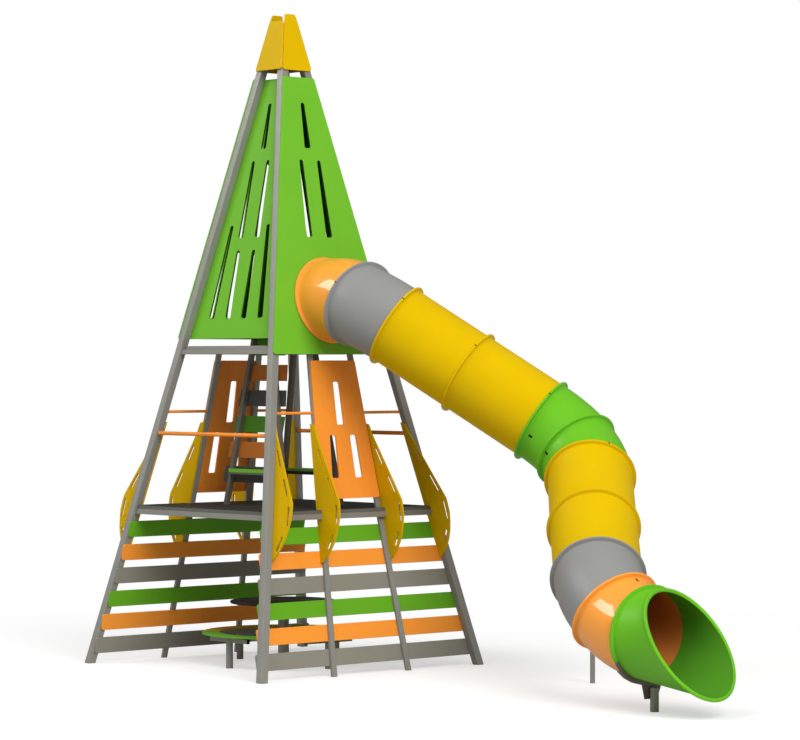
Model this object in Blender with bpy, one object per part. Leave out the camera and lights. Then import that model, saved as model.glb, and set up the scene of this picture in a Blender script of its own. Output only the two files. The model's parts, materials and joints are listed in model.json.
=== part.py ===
import math

import bpy
import bmesh
from mathutils import Vector
from mathutils.bvhtree import BVHTree
from mathutils.geometry import tessellate_polygon

# Play tower with a tube slide: a four-post pyramid with a platform, a high deck and a cap, and a
# bolted tube slide that leaves the front face and ends in a flared exit. All lengths are metres,
# +Z is up and the slide leaves towards -Y.

# The pyramid: half widths at the ground and the heights where its faces would meet
BASE_X = 1.3975
BASE_Y = 1.3642
APEX_X = 6.6138
APEX_Y = 6.7447
TOWER_Y = 2.3835
GAP = 0.0003

# Posts and studs
POST = 0.080
POST_TOP = 6.20
STUD_HALF = 0.030
STUD_OUT = 0.050
STUD_TOP = 3.0147

# Boards and panels
SHEET = 0.019
SHEET_IN = SHEET - GAP
CORNER = 0.020
SLOT_STEPS = 6
CORNER_STEPS = 3

# Platform and high deck
PLATFORM_LOW = 1.461
PLATFORM_TOP = 1.545
BEAM_LOW = 3.015
BEAM_TOP = 3.060
DECK_TOP = 3.096
BEAM_OUT = 0.020
DECK_OUT = 0.045
BEAM_IN = 0.110
PLATE_NOTCH = 0.005
HATCH = ((-0.62, -0.33), (-0.2187, 0.27))

# Slats of the front and rear walls
SLAT_LOW = (0.100, 0.3265, 0.553, 0.780, 1.007, 1.235)
SLAT_HIGH = 0.157

# Tube slide
TUBE_R = 0.387
TUBE_WALL = 0.011
FLANGE_R = 0.4206
RIDGE = 0.024
RIDGE_START = -0.012
TUBE_SIDES = 28
BEND_STEPS = 4


def half_x(z):
    return BASE_X * (1 - z / APEX_X)


def half_y(z):
    return BASE_Y * (1 - z / APEX_Y)


def place(side, s, depth, z):
    """A point s along a face of the pyramid, depth inside the outer plane of the posts."""
    if side == "front":
        return Vector((s, depth - half_y(z), z))
    if side == "rear":
        return Vector((-s, half_y(z) - depth, z))
    if side == "left":
        return Vector((depth - half_x(z), -s, z))
    return Vector((half_x(z) - depth, s, z))


def half_along(side, z):
    return half_x(z) if side in ("front", "rear") else half_y(z)


def linear(colour):
    return [((c / 255 + 0.055) / 1.055) ** 2.4 for c in colour] + [1.0]


def paint(name, colour, roughness, metallic):
    material = bpy.data.materials.new(name)
    material.use_nodes = True
    shader = material.node_tree.nodes["Principled BSDF"]
    shader.inputs["Base Color"].default_value = linear(colour)
    shader.inputs["Roughness"].default_value = roughness
    shader.inputs["Metallic"].default_value = metallic
    material.diffuse_color = linear(colour)
    return material


# Start from nothing
for obj in list(bpy.data.objects):
    bpy.data.objects.remove(obj)

# Finishes
POST_GREY = paint("post_grey", (150, 149, 140), 0.45, 0.6)
SLAT_GREY = paint("slat_grey", (140, 136, 122), 0.55, 0.0)
DECK_GREY = paint("deck_grey", (112, 110, 104), 0.6, 0.0)
STEEL_DARK = paint("steel_dark", (62, 60, 58), 0.5, 0.3)
GREEN = paint("green_panel", (117, 188, 50), 0.4, 0.0)
ORANGE = paint("orange_panel", (246, 156, 62), 0.4, 0.0)
YELLOW = paint("yellow_panel", (232, 190, 12), 0.4, 0.0)
TUBE_GREY = paint("tube_grey", (150, 150, 148), 0.35, 0.0)
TUBE_YELLOW = paint("tube_yellow", (235, 200, 10), 0.35, 0.0)
TUBE_GREEN = paint("tube_green", (117, 188, 50), 0.35, 0.0)
TUBE_ORANGE = paint("tube_orange", (250, 160, 60), 0.35, 0.0)


def finish(name, shape, material, smooth):
    bmesh.ops.remove_doubles(shape, verts=shape.verts, dist=0.00001)
    bmesh.ops.recalc_face_normals(shape, faces=shape.faces)
    mesh = bpy.data.meshes.new(name)
    shape.to_mesh(mesh)
    shape.free()
    if smooth:
        mesh.shade_smooth()
        mesh.set_sharp_from_angle(angle=math.radians(35))
    mesh.materials.append(material)
    obj = bpy.data.objects.new(name, mesh)
    obj.location = (0, TOWER_Y, 0)
    bpy.context.scene.collection.objects.link(obj)
    return obj


def add_strip(shape, first, second):
    """Quads between two closed loops with the same number of points."""
    a = [shape.verts.new(p) for p in first]
    b = [shape.verts.new(p) for p in second]
    for i in range(len(a)):
        j = (i + 1) % len(a)
        shape.faces.new((a[i], a[j], b[j], b[i]))


def add_flat(shape, flat_loops, solid_loops):
    """A flat face with holes, cut into triangles in its own 2-D drawing."""
    points = [shape.verts.new(p) for loop in solid_loops for p in loop]
    drawing = [[Vector((u, v, 0)) for u, v in loop] for loop in flat_loops]
    for a, b, c in tessellate_polygon(drawing):
        if len({a, b, c}) == 3:
            shape.faces.new((points[a], points[b], points[c]))


def loft(name, loops, material, smooth):
    """A closed body through loops of the same number of points, with flat ends."""
    shape = bmesh.new()
    for first, second in zip(loops, loops[1:]):
        add_strip(shape, first, second)
    shape.faces.new([shape.verts.new(p) for p in loops[0]])
    shape.faces.new([shape.verts.new(p) for p in loops[-1]])
    return finish(name, shape, material, smooth)


def sheet(name, near, far, outline, holes, material):
    """A board: an outline with holes, between the near and the far surface."""
    shape = bmesh.new()
    loops = [outline] + holes
    for surface in (near, far):
        add_flat(shape, loops, [[surface(u, v) for u, v in loop] for loop in loops])
    for loop in loops:
        add_strip(shape, [near(u, v) for u, v in loop], [far(u, v) for u, v in loop])
    return finish(name, shape, material, False)


def rounded(points, radius, steps):
    """The outline with each corner turned into an arc."""
    result = []
    for i, corner in enumerate(points):
        here = Vector(corner)
        to_last = (Vector(points[i - 1]) - here).normalized()
        to_next = (Vector(points[(i + 1) % len(points)]) - here).normalized()
        half = to_last.angle(to_next) / 2
        reach = radius / math.tan(half)
        centre = here + (to_last + to_next).normalized() * (radius / math.sin(half))
        first = here + to_last * reach - centre
        second = here + to_next * reach - centre
        turn = first.angle_signed(second)
        for k in range(steps + 1):
            angle = -turn * k / steps
            x = first.x * math.cos(angle) - first.y * math.sin(angle)
            y = first.x * math.sin(angle) + first.y * math.cos(angle)
            result.append((centre.x + x, centre.y + y))
    return result


def slot(start, end, width):
    """A long hole with round ends that reaches from start to end."""
    a = Vector(start)
    b = Vector(end)
    along = (b - a).normalized()
    across = Vector((-along.y, along.x))
    radius = width / 2
    result = []
    for centre, way in ((b - along * radius, 1), (a + along * radius, -1)):
        for k in range(SLOT_STEPS + 1):
            angle = math.pi * k / SLOT_STEPS
            aside = across * (-way * radius * math.cos(angle))
            point = centre + aside + along * (way * radius * math.sin(angle))
            result.append((point.x, point.y))
    return result


def face_panel(name, side, outline, holes, depth, thick, material):
    def near(s, z):
        return place(side, s, depth, z)

    def far(s, z):
        return place(side, s, depth + thick, z)

    return sheet(name, near, far, outline, holes, material)


def leaning_outline(side, inset, low, high):
    """The outline of a panel whose two upright edges follow the posts."""
    bottom = half_along(side, low) - inset
    top = half_along(side, high) - inset
    return rounded([(-bottom, low), (bottom, low), (top, high), (-top, high)], CORNER, CORNER_STEPS)


def mirrored(holes):
    return [[(-s, z) for s, z in hole] for hole in holes]


def helper(obj):
    obj.hide_render = True
    obj.display_type = "WIRE"


def fuse(base, others):
    for other in others:
        helper(other)
        union = base.modifiers.new("with_" + other.name, "BOOLEAN")
        union.operation = "UNION"
        union.solver = "EXACT"
        union.object = other
    return base


def rod(name, start, end, radius, sides, material):
    a = Vector(start)
    b = Vector(end)
    along = (b - a).normalized()
    across = along.cross(Vector((0, 0, 1)))
    if across.length < 0.01:
        across = Vector((1, 0, 0))
    across.normalize()
    third = along.cross(across)
    loops = []
    for centre in (a, b):
        ring = []
        for k in range(sides):
            angle = math.tau * k / sides
            ring.append(centre + (across * math.cos(angle) + third * math.sin(angle)) * radius)
        loops.append(ring)
    return loft(name, loops, material, True)


# Corner posts: square tubes from the ground to inside the cap
def corner_loop(sx, sy, z):
    outer_x = half_x(z)
    outer_y = half_y(z)
    corners = ((0, 0), (POST, 0), (POST, POST), (0, POST))
    return [Vector((sx * (outer_x - dx), sy * (outer_y - dy), z)) for dx, dy in corners]


for post_name, sx, sy in (
    ("post_front_left", -1, -1),
    ("post_front_right", 1, -1),
    ("post_rear_left", -1, 1),
    ("post_rear_right", 1, 1),
):
    loft(post_name, [corner_loop(sx, sy, z) for z in (0, POST_TOP)], POST_GREY, False)


# Platform and deck outlines: a rectangle with the four post corners cut out
def notched(depth_y, depth_x, z, notch):
    x = half_x(z)
    y = half_y(z)
    quarter = [(x - notch, y - depth_y), (x - notch, y - notch), (x - depth_x, y - notch)]
    loop = []
    for sx, sy in ((1, 1), (1, -1), (-1, -1), (-1, 1)):
        points = [Vector((sx * px, sy * py, z)) for px, py in quarter]
        loop += points if sx * sy > 0 else points[::-1]
    return loop


def rectangle(x0, y0, x1, y1, z):
    return [Vector((x0, y0, z)), Vector((x1, y0, z)), Vector((x1, y1, z)), Vector((x0, y1, z))]


def plan(loop):
    return [(p.x, p.y) for p in loop]


def stud_hole(side, sign, z):
    centre = sign * half_x(z) / 3
    out = STUD_OUT - GAP
    deep = POST + GAP
    wide = STUD_HALF + GAP
    corners = ((-wide, out), (wide, out), (wide, deep), (-wide, deep))
    return [place(side, centre + s, depth, z) for s, depth in corners]


# Platform: one thick floor plate flush with the front and rear of the posts
platform = bmesh.new()
levels = []
for z in (PLATFORM_LOW, PLATFORM_TOP):
    loops = [notched(GAP, 0.030, z, POST + GAP)]
    loops += [stud_hole(side, sign, z) for side in ("front", "rear") for sign in (-1, 1)]
    levels.append(loops)
    add_flat(platform, [plan(loop) for loop in loops], loops)
for lower, upper in zip(*levels):
    add_strip(platform, lower, upper)
finish("platform", platform, DECK_GREY, False)

# High deck: four beams between the posts under a floor plate with a hatch
deck = bmesh.new()
(hatch_x0, hatch_y0), (hatch_x1, hatch_y1) = HATCH
beam_low = notched(BEAM_OUT, BEAM_OUT, BEAM_LOW, POST + GAP)
beam_top = notched(BEAM_OUT, BEAM_OUT, BEAM_TOP, POST + GAP)
plate_low = notched(DECK_OUT, DECK_OUT, BEAM_TOP, POST + PLATE_NOTCH)
plate_top = notched(DECK_OUT, DECK_OUT, DECK_TOP, POST + PLATE_NOTCH)
inside_x = half_x(BEAM_LOW) - BEAM_IN
inside_y = half_y(BEAM_LOW) - BEAM_IN
frame_low = rectangle(-inside_x, -inside_y, inside_x, inside_y, BEAM_LOW)
frame_top = rectangle(-inside_x, -inside_y, inside_x, inside_y, BEAM_TOP)
hatch_low = rectangle(hatch_x0, hatch_y0, hatch_x1, hatch_y1, BEAM_TOP)
hatch_top = rectangle(hatch_x0, hatch_y0, hatch_x1, hatch_y1, DECK_TOP)
add_flat(deck, [plan(beam_low), plan(frame_low)], [beam_low, frame_low])
add_strip(deck, beam_low, beam_top)
add_strip(deck, beam_top, plate_low)
add_strip(deck, plate_low, plate_top)
add_flat(deck, [plan(plate_top), plan(hatch_top)], [plate_top, hatch_top])
add_strip(deck, hatch_top, hatch_low)
add_flat(deck, [plan(frame_top), plan(hatch_low)], [frame_top, hatch_low])
add_strip(deck, frame_top, frame_low)
finish("upper_deck", deck, DECK_GREY, False)

# Front and rear walls: six slats fused to the two studs that carry them
SLATS_END = SLAT_LOW[-1] + SLAT_HIGH
BITE = 0.001
STUD_RISE = (
    (0, 0),
    (SLAT_LOW[0] - 0.02, 0),
    (SLAT_LOW[0] + 0.02, BITE),
    (SLATS_END - 0.02, BITE),
    (SLATS_END + 0.02, 0),
    (STUD_TOP, 0),
)
for side in ("front", "rear"):
    pieces = []
    for row, low in enumerate(SLAT_LOW):
        high = low + SLAT_HIGH
        outline = leaning_outline(side, 0.005, low, high)
        pieces.append(
            face_panel(f"{side}_slat_{row}", side, outline, [], POST + GAP, SHEET, SLAT_GREY)
        )
    for sign in (-1, 1):
        loops = []
        for z, embed in STUD_RISE:
            centre = sign * half_x(z) / 3
            corners = (
                (-STUD_HALF, STUD_OUT),
                (STUD_HALF, STUD_OUT),
                (STUD_HALF, POST + embed),
                (-STUD_HALF, POST + embed),
            )
            loops.append([place(side, centre + s, depth, z) for s, depth in corners])
        stud_name = f"{side}_slat_wall" if sign < 0 else f"{side}_stud"
        pieces.append(loft(stud_name, loops, SLAT_GREY, False))
    fuse(pieces[-2], pieces[:-2] + pieces[-1:])

# Green panels round the high deck, with long slots
TOP_SLOT = slot((0, 5.450), (0, 5.005), 0.068)
MIDDLE_SLOT = slot((-0.110, 4.890), (-0.125, 4.140), 0.066)
LOW_INNER = slot((-0.117, 4.020), (-0.119, 3.360), 0.070)
LOW_OUTER = slot((-0.275, 4.265), (-0.370, 3.362), 0.072)
UPPER_SLOTS = [TOP_SLOT, MIDDLE_SLOT] + mirrored([MIDDLE_SLOT])
ALL_SLOTS = UPPER_SLOTS + [LOW_INNER, LOW_OUTER] + mirrored([LOW_INNER, LOW_OUTER])
LEAN = math.atan(BASE_Y / APEX_Y)
MOUTH_Z = 3.529
mouth = []
for k in range(TUBE_SIDES):
    angle = math.tau * (k + 0.5) / TUBE_SIDES
    reach = TUBE_R - TUBE_WALL
    mouth.append((reach * math.sin(angle), MOUTH_Z + reach * math.cos(angle) * math.cos(LEAN)))
for side, low, holes in (("front", 3.015, UPPER_SLOTS + [mouth]), ("rear", 3.165, ALL_SLOTS)):
    outline = leaning_outline(side, GAP, low, 5.700)
    face_panel(f"{side}_panel", side, outline, holes, -SHEET, SHEET_IN, GREEN)
for side in ("left", "right"):
    outline = leaning_outline(side, 0.005, 3.165, 5.690)
    face_panel(f"{side}_panel", side, outline, ALL_SLOTS, POST + GAP, SHEET, GREEN)

# Cap: four small panels round the post tops
for side, low, high in (
    ("front", 5.767, 6.320),
    ("rear", 5.767, 6.320),
    ("left", 5.775, 6.255),
    ("right", 5.775, 6.255),
):
    outline = leaning_outline(side, GAP, low, high)
    face_panel(f"cap_{side}", side, outline, [], -SHEET, SHEET_IN, YELLOW)

# Orange panels between the studs above the platform
for side in ("front", "rear"):
    low = 1.645
    high = 2.956
    wide = half_x(low) / 3 + 0.020
    narrow = half_x(high) / 3 + 0.020
    outline = rounded([(-wide, low), (wide, low), (narrow, high), (-narrow, high)], CORNER, CORNER_STEPS)
    lower_slot = slot((-0.126, 2.243), (-0.146, 1.840), 0.080)
    holes = [slot((0, 2.751), (0, 2.343), 0.080), lower_slot] + mirrored([lower_slot])
    face_panel(f"{side}_orange_panel", side, outline, holes, STUD_OUT - SHEET, SHEET_IN, ORANGE)

# Thin bars across the two narrow openings of the front and rear
BAR_Z = 2.456
BAR_R = 0.0125
BAR_LEAN = BAR_R * BASE_X / APEX_X
for side in ("front", "rear"):
    for sign, which in ((-1, "a"), (1, "b")):
        at_post = half_x(BAR_Z) - POST - GAP - BAR_LEAN
        at_stud = half_x(BAR_Z) / 3 + STUD_HALF + GAP + BAR_LEAN / 3
        ends = [place(side, sign * s, 0.065, BAR_Z) for s in (at_post, at_stud)]
        rod(f"{side}_bar_{which}", ends[0], ends[1], BAR_R, 12, ORANGE)

# Grab bars across the left and right openings
GRAB_Z = 2.248
GRAB_R = 0.017
for side in ("left", "right"):
    reach = half_y(GRAB_Z) - POST - GAP - GRAB_R * BASE_Y / APEX_Y
    rod(
        f"{side}_grab_bar",
        place(side, -reach, 0.038, GRAB_Z),
        place(side, reach, 0.038, GRAB_Z),
        GRAB_R,
        16,
        ORANGE,
    )

# Side wings of the narrow openings: a straight inner edge, a bulging outer edge and four slots
WING_FLANK = ((-0.0240, 2.340), (0.000, 2.241), (0.251, 1.635))
WING_BELLY = ((0.2515, 1.590), (0.243, 1.500), (0.214, 1.410), (0.173, 1.316), (0.125, 1.237))
WING_FOOT = ((0.062, 1.157), (0.000, 1.100), (-0.045, 1.060))
WING_SLOTS = (
    ((0.011, 2.117), (0.067, 1.958)),
    ((0.118, 1.853), (0.178, 1.692)),
    ((0.208, 1.604), (0.190, 1.422)),
    ((0.134, 1.325), (0.038, 1.181)),
)
WING_SLOT = 0.030


def wing_outline():
    outer = [(-n, z) for n, z in WING_FLANK + WING_BELLY + WING_FOOT]
    deep = POST - GAP
    under = PLATFORM_LOW - GAP
    over = PLATFORM_TOP + GAP
    outer.append((deep, 1.045))
    outer += [(deep, under), (-GAP, under), (-GAP, over), (deep, over)]
    outer.append((deep, 2.355))
    return outer


def wing(name, side, sign, beside_post):
    def base(z):
        if beside_post:
            return half_x(z) - POST - GAP
        return half_x(z) / 3 + STUD_HALF + GAP

    step = -SHEET if beside_post else SHEET

    def near(depth, z):
        return place(side, sign * base(z), depth, z)

    def far(depth, z):
        return place(side, sign * (base(z) + step), depth, z)

    holes = [slot((-a[0], a[1]), (-b[0], b[1]), WING_SLOT) for a, b in WING_SLOTS]
    return sheet(name, near, far, wing_outline(), holes, YELLOW)


for side in ("front", "rear"):
    wing(f"{side}_wing_1", side, -1, True)
    wing(f"{side}_wing_2", side, -1, False)
    wing(f"{side}_wing_3", side, 1, False)
    wing(f"{side}_wing_4", side, 1, True)

# Inner climbing frame: two pairs of leaning posts that stand on the platform
LADDER_POST = 0.040
LADDER_LOW = PLATFORM_TOP + GAP
CLIMB_TOP = 3.160
INNER_TOP = BEAM_TOP - GAP


def ladder_x(z):
    return 0.284 + 0.062 * (3.0 - z)


def ladder_y(z):
    return 0.187 + 0.191 * (3.0 - z)


def ladder_post(name, sx, sy, top):
    loops = []
    for z in (LADDER_LOW, top):
        x = ladder_x(z)
        y = ladder_y(z)
        corners = ((0, 0), (LADDER_POST, 0), (LADDER_POST, LADDER_POST), (0, LADDER_POST))
        loops.append([Vector((sx * (x - dx), sy * (y - dy), z)) for dx, dy in corners])
    return loft(name, loops, POST_GREY, False)


# Climbing wall on the left pair, which runs up through the hatch: six boards behind the posts,
# longer to the rear lower down
BOARD_LOW = (1.770, 2.008, 2.259, 2.511, 2.757, 3.003)
BOARD_HIGH = 0.157
BOARD_FRONT_LEAST = 0.305
climb = [ladder_post("climbing_wall", -1, -1, CLIMB_TOP), ladder_post("climb_post", -1, 1, CLIMB_TOP)]


def board_front(z):
    return max(BOARD_FRONT_LEAST, ladder_y(z) - 0.010)


def board_rear(z):
    return 0.283 + 0.247 * (2.840 - z)


for row, low in enumerate(BOARD_LOW):
    def climb_near(y, z):
        return Vector((LADDER_POST - 0.001 - ladder_x(z), y, z))

    def climb_far(y, z):
        return Vector((LADDER_POST - 0.001 + SHEET - ladder_x(z), y, z))

    high = low + BOARD_HIGH
    corners = [
        (-board_front(low), low),
        (board_rear(low), low),
        (board_rear(high), high),
        (-board_front(high), high),
    ]
    outline = rounded(corners, CORNER, CORNER_STEPS)
    climb.append(sheet(f"climb_board_{row}", climb_near, climb_far, outline, [], POST_GREY))
fuse(climb[0], climb[1:])

# Step in front of the climbing wall, and the step that joins the right pair of posts
STEP_TOP = 1.902
STEP_LOW = 1.849
STEP_DEEP = 0.025


def step_body(name, sx, inner, outer, low, high, half, material):
    loops = []
    for z in (low, high):
        x_in = sx * (ladder_x(z) + inner)
        x_out = sx * (ladder_x(z) + outer)
        loops.append(rectangle(x_in, -half, x_out, half, z))
    return loft(name, loops, material, False)


step_body("climbing_step", -1, GAP, STEP_DEEP, STEP_LOW, STEP_TOP, 0.386, GREEN)
frame = [ladder_post("inner_frame", 1, -1, INNER_TOP), ladder_post("inner_post", 1, 1, INNER_TOP)]
frame.append(step_body("inner_step", 1, -0.025, 0.160, 1.834, 1.891, 0.390, POST_GREY))
fuse(frame[0], frame[1:])


# Table and ring bench under the platform
def arc(radius, start, end, steps):
    angles = [start + (end - start) * k / steps for k in range(steps + 1)]
    return [(radius * math.cos(t), radius * math.sin(t)) for t in angles]


def disc(name, radius, low, high, sides, material):
    loops = []
    for z in (low, high):
        loops.append([Vector((x, y, z)) for x, y in arc(radius, 0, math.tau, sides)[:-1]])
    return loft(name, loops, material, True)


TABLE_TOP = 0.620
TABLE_LOW = 0.596
disc("table_top", 0.520, TABLE_LOW, TABLE_TOP, 48, STEEL_DARK)
disc("table_post", 0.0535, 0, TABLE_LOW - GAP, 20, POST_GREY)

SEAT_TOP = 0.320
SEAT_LOW = 0.302
SEAT_IN = 0.632
SEAT_OUT = 0.795
SEAT_GAP = math.radians(1.2)
for seat_name, turn, colour in (
    ("seat_left", 180, GREEN),
    ("seat_rear", 90, YELLOW),
    ("seat_right", 0, GREEN),
    ("seat_front", 270, YELLOW),
):
    middle = math.radians(turn)
    start = middle - math.pi / 4 + SEAT_GAP
    end = middle + math.pi / 4 - SEAT_GAP
    outline = arc(SEAT_OUT, start, end, 14) + arc(SEAT_IN, end, start, 14)
    sheet(
        seat_name,
        lambda x, y: Vector((x, y, SEAT_LOW)),
        lambda x, y: Vector((x, y, SEAT_TOP)),
        outline,
        [],
        colour,
    )

# The bench frame: a flat ring under the seats, and four legs with a straight bar across each
RING_LOW = 0.280
RING_TOP = SEAT_LOW - GAP
RING_R = 0.674
RING_HALF = 0.025
BENCH_LEG_R = 0.034
BAR_HALF = 0.285
BAR_DEEP = 0.016
BAR_LOW = 0.250
BAR_TOP = 0.290
ring = bmesh.new()
ring_levels = []
for z in (RING_LOW, RING_TOP):
    loops = []
    for radius in (RING_R + RING_HALF, RING_R - RING_HALF):
        loops.append([Vector((x, y, z)) for x, y in arc(radius, 0, math.tau, 48)[:-1]])
    ring_levels.append(loops)
    add_strip(ring, loops[0], loops[1])
for lower, upper in zip(*ring_levels):
    add_strip(ring, lower, upper)
bench_frame = finish("bench_frame", ring, POST_GREY, True)
bench_parts = []
for quarter in range(4):
    angle = math.tau * quarter / 4
    out = Vector((math.cos(angle), math.sin(angle), 0))
    side = Vector((-out.y, out.x, 0))
    foot = out * RING_R
    head = foot + Vector((0, 0, (RING_LOW + RING_TOP) / 2))
    bench_parts.append(rod(f"bench_leg_{quarter}", foot, head, BENCH_LEG_R, 16, POST_GREY))
    loops = []
    for z in (BAR_LOW, BAR_TOP):
        corners = ((-1, -1), (1, -1), (1, 1), (-1, 1))
        loops.append([foot + out * BAR_DEEP * a + side * BAR_HALF * b + Vector((0, 0, z)) for a, b in corners])
    bench_parts.append(loft(f"bench_bar_{quarter}", loops, POST_GREY, False))
fuse(bench_frame, bench_parts)


# Tube slide: joints at the flanges, as centre, heading from -Y towards +X and slope down
PANEL_FACE = -half_y(MOUTH_Z) - SHEET
JOINTS = (
    ((0.000, PANEL_FACE - GAP, MOUTH_Z), 0.0, -math.degrees(LEAN)),
    ((-0.010, -1.135, 3.492), 0.0, 20.0),
    ((0.096, -1.544, 3.284), 31.0, 32.4),
    ((0.452, -2.149, 2.842), 30.5, 32.3),
    ((0.808, -2.757, 2.398), 30.5, 32.4),
    ((0.898, -3.121, 2.131), -3.0, 38.0),
    ((0.756, -3.446, 1.878), -42.5, 31.0),
    ((0.275, -3.967, 1.459), -42.4, 29.0),
    ((-0.196, -4.487, 1.073), -42.3, 29.0),
    ((-0.365, -4.852, 0.817), -7.0, 36.0),
    ((-0.422, -5.306, 0.652), -7.0, 4.0),
)
SECTIONS = (
    ("slide_collar", TUBE_ORANGE, BEND_STEPS),
    ("slide_grey_bend_top", TUBE_GREY, BEND_STEPS),
    ("slide_yellow_1", TUBE_YELLOW, 1),
    ("slide_yellow_2", TUBE_YELLOW, 1),
    ("slide_green_bend_1", TUBE_GREEN, BEND_STEPS),
    ("slide_green_bend_2", TUBE_GREEN, BEND_STEPS),
    ("slide_yellow_3", TUBE_YELLOW, 1),
    ("slide_yellow_4", TUBE_YELLOW, 1),
    ("slide_grey_bend_low", TUBE_GREY, BEND_STEPS),
    ("slide_orange_bend", TUBE_ORANGE, BEND_STEPS),
)


def heading_vector(heading, slope):
    h = math.radians(heading)
    s = math.radians(slope)
    return Vector((math.sin(h) * math.cos(s), -math.cos(h) * math.cos(s), -math.sin(s)))


def axes(heading, slope):
    h = math.radians(heading)
    across = Vector((math.cos(h), math.sin(h), 0))
    up = heading_vector(heading, slope).cross(across)
    return across, up


def circle(centre, across, up, radius):
    ring_points = []
    for k in range(TUBE_SIDES):
        angle = math.tau * (k + 0.5) / TUBE_SIDES
        ring_points.append(centre + (across * math.sin(angle) + up * math.cos(angle)) * radius)
    return ring_points


def along(first, second, t):
    """Centre and direction at t of the way between two joints."""
    a = Vector(first[0])
    b = Vector(second[0])
    reach = (b - a).length
    da = heading_vector(first[1], first[2]) * reach
    db = heading_vector(second[1], second[2]) * reach
    t2 = t * t
    t3 = t2 * t
    centre = a * (2 * t3 - 3 * t2 + 1) + da * (t3 - 2 * t2 + t) + b * (3 * t2 - 2 * t3) + db * (t3 - t2)
    heading = first[1] + (second[1] - first[1]) * t
    slope = first[2] + (second[2] - first[2]) * t
    return centre, heading, slope


def joint_ring(joint, ahead, radius):
    """A ring square to the slide, ahead metres past a joint."""
    centre, heading, slope = joint
    across, up = axes(heading, slope)
    return circle(Vector(centre) + heading_vector(heading, slope) * ahead, across, up, radius)


def tube(name, first, second, steps, material, start):
    """A section: a ridge at its upper end, then a plain tube up to the next section's ridge."""
    inner_r = TUBE_R - TUBE_WALL
    end = RIDGE_START - GAP
    between = [along(first, second, k / steps) for k in range(1, steps)]
    rings = [
        joint_ring(first, start, FLANGE_R),
        joint_ring(first, start + RIDGE, FLANGE_R),
        joint_ring(first, start + RIDGE, TUBE_R),
    ]
    rings += [joint_ring(joint, 0, TUBE_R) for joint in between]
    rings += [joint_ring(second, end, TUBE_R), joint_ring(second, end, inner_r)]
    rings += [joint_ring(joint, 0, inner_r) for joint in reversed(between)]
    rings += [joint_ring(first, start, inner_r)]
    shape = bmesh.new()
    for i, ring_points in enumerate(rings):
        add_strip(shape, ring_points, rings[(i + 1) % len(rings)])
    return finish(name, shape, material, True)


tubes = {}
for (name, material, steps), first, second in zip(SECTIONS, JOINTS, JOINTS[1:]):
    start = 0 if name == "slide_collar" else RIDGE_START
    tubes[name] = tube(name, first, second, steps, material, start)

# Slide exit: a scoop with a thick lip, cut off aslant, short on top and long below
EXIT_HEADING = -3.23
EXIT_SLOPE = 5.28
EXIT_MEAN = 0.505
EXIT_TILT = 0.361
EXIT_FLARE = 0.021
EXIT_LIP = 0.022
EXIT_LIP_LONG = 0.030
LAST_JOINT = JOINTS[-1]
exit_centre = Vector(LAST_JOINT[0])
exit_way = heading_vector(EXIT_HEADING, EXIT_SLOPE)
exit_across, exit_up = axes(EXIT_HEADING, EXIT_SLOPE)
joint_across, joint_up = axes(*LAST_JOINT[1:])
joint_way = heading_vector(*LAST_JOINT[1:])


def exit_ring(back, extra):
    """A slanted ring, back metres behind the rim and extra metres outside the inner wall."""
    points = []
    for k in range(TUBE_SIDES):
        angle = math.tau * (k + 0.5) / TUBE_SIDES
        reach = EXIT_MEAN - EXIT_TILT * math.cos(angle) - back
        radius = TUBE_R - TUBE_WALL + EXIT_FLARE * reach + extra
        out = exit_across * math.sin(angle) + exit_up * math.cos(angle)
        points.append(exit_centre + exit_way * reach + out * radius)
    return points


exit_rings = [
    joint_ring(LAST_JOINT, RIDGE_START, FLANGE_R),
    joint_ring(LAST_JOINT, RIDGE_START + RIDGE, FLANGE_R),
    joint_ring(LAST_JOINT, RIDGE_START + RIDGE, TUBE_R),
    exit_ring(EXIT_LIP_LONG, TUBE_WALL),
    exit_ring(EXIT_LIP_LONG, TUBE_WALL + EXIT_LIP),
    exit_ring(0, TUBE_WALL + EXIT_LIP),
    exit_ring(0, 0),
    joint_ring(LAST_JOINT, RIDGE_START, TUBE_R - TUBE_WALL),
]
exit_shape = bmesh.new()
for i, ring_points in enumerate(exit_rings):
    add_strip(exit_shape, ring_points, exit_rings[(i + 1) % len(exit_rings)])
tubes["slide_exit"] = finish("slide_exit", exit_shape, TUBE_GREEN, True)


# Slide legs: round tubes from the ground to just under the slide
LEG_PROBES = 32


def height_over(pieces, x, y, radius):
    """The lowest point of these pieces over a round leg."""
    shape = bmesh.new()
    for piece in pieces:
        shape.from_mesh(piece.data)
    tree = BVHTree.FromBMesh(shape)
    shape.free()
    found = []
    for k in range(LEG_PROBES):
        for share in (0, 0.5, 0.8, 1):
            angle = math.tau * k / LEG_PROBES
            reach = radius * share
            start = Vector((x + reach * math.cos(angle), y + reach * math.sin(angle), 0))
            hit = tree.ray_cast(start, Vector((0, 0, 1)))[0]
            if hit is not None:
                found.append(hit.z)
    return min(found)


MIDDLE_LEG = (0.920, -3.316)
MIDDLE_LEG_R = 0.023
carried = [tubes[name] for name in ("slide_green_bend_2", "slide_yellow_3")]
leg_top = height_over(carried, *MIDDLE_LEG, MIDDLE_LEG_R) - GAP
rod("slide_leg_middle", (*MIDDLE_LEG, 0), (*MIDDLE_LEG, leg_top), MIDDLE_LEG_R, 16, POST_GREY)

# Exit leg, and the saddle behind it: a band under the last ridge, a crescent plate against the
# ridge's front face and a tongue that tapers down to the leg
EXIT_LEG = (-0.3853, -5.3356)
EXIT_LEG_R = 0.0375
EXIT_LEG_TOP = 0.205
rod("slide_leg_exit", (*EXIT_LEG, 0), (*EXIT_LEG, EXIT_LEG_TOP), EXIT_LEG_R, 20, POST_GREY)

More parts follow.
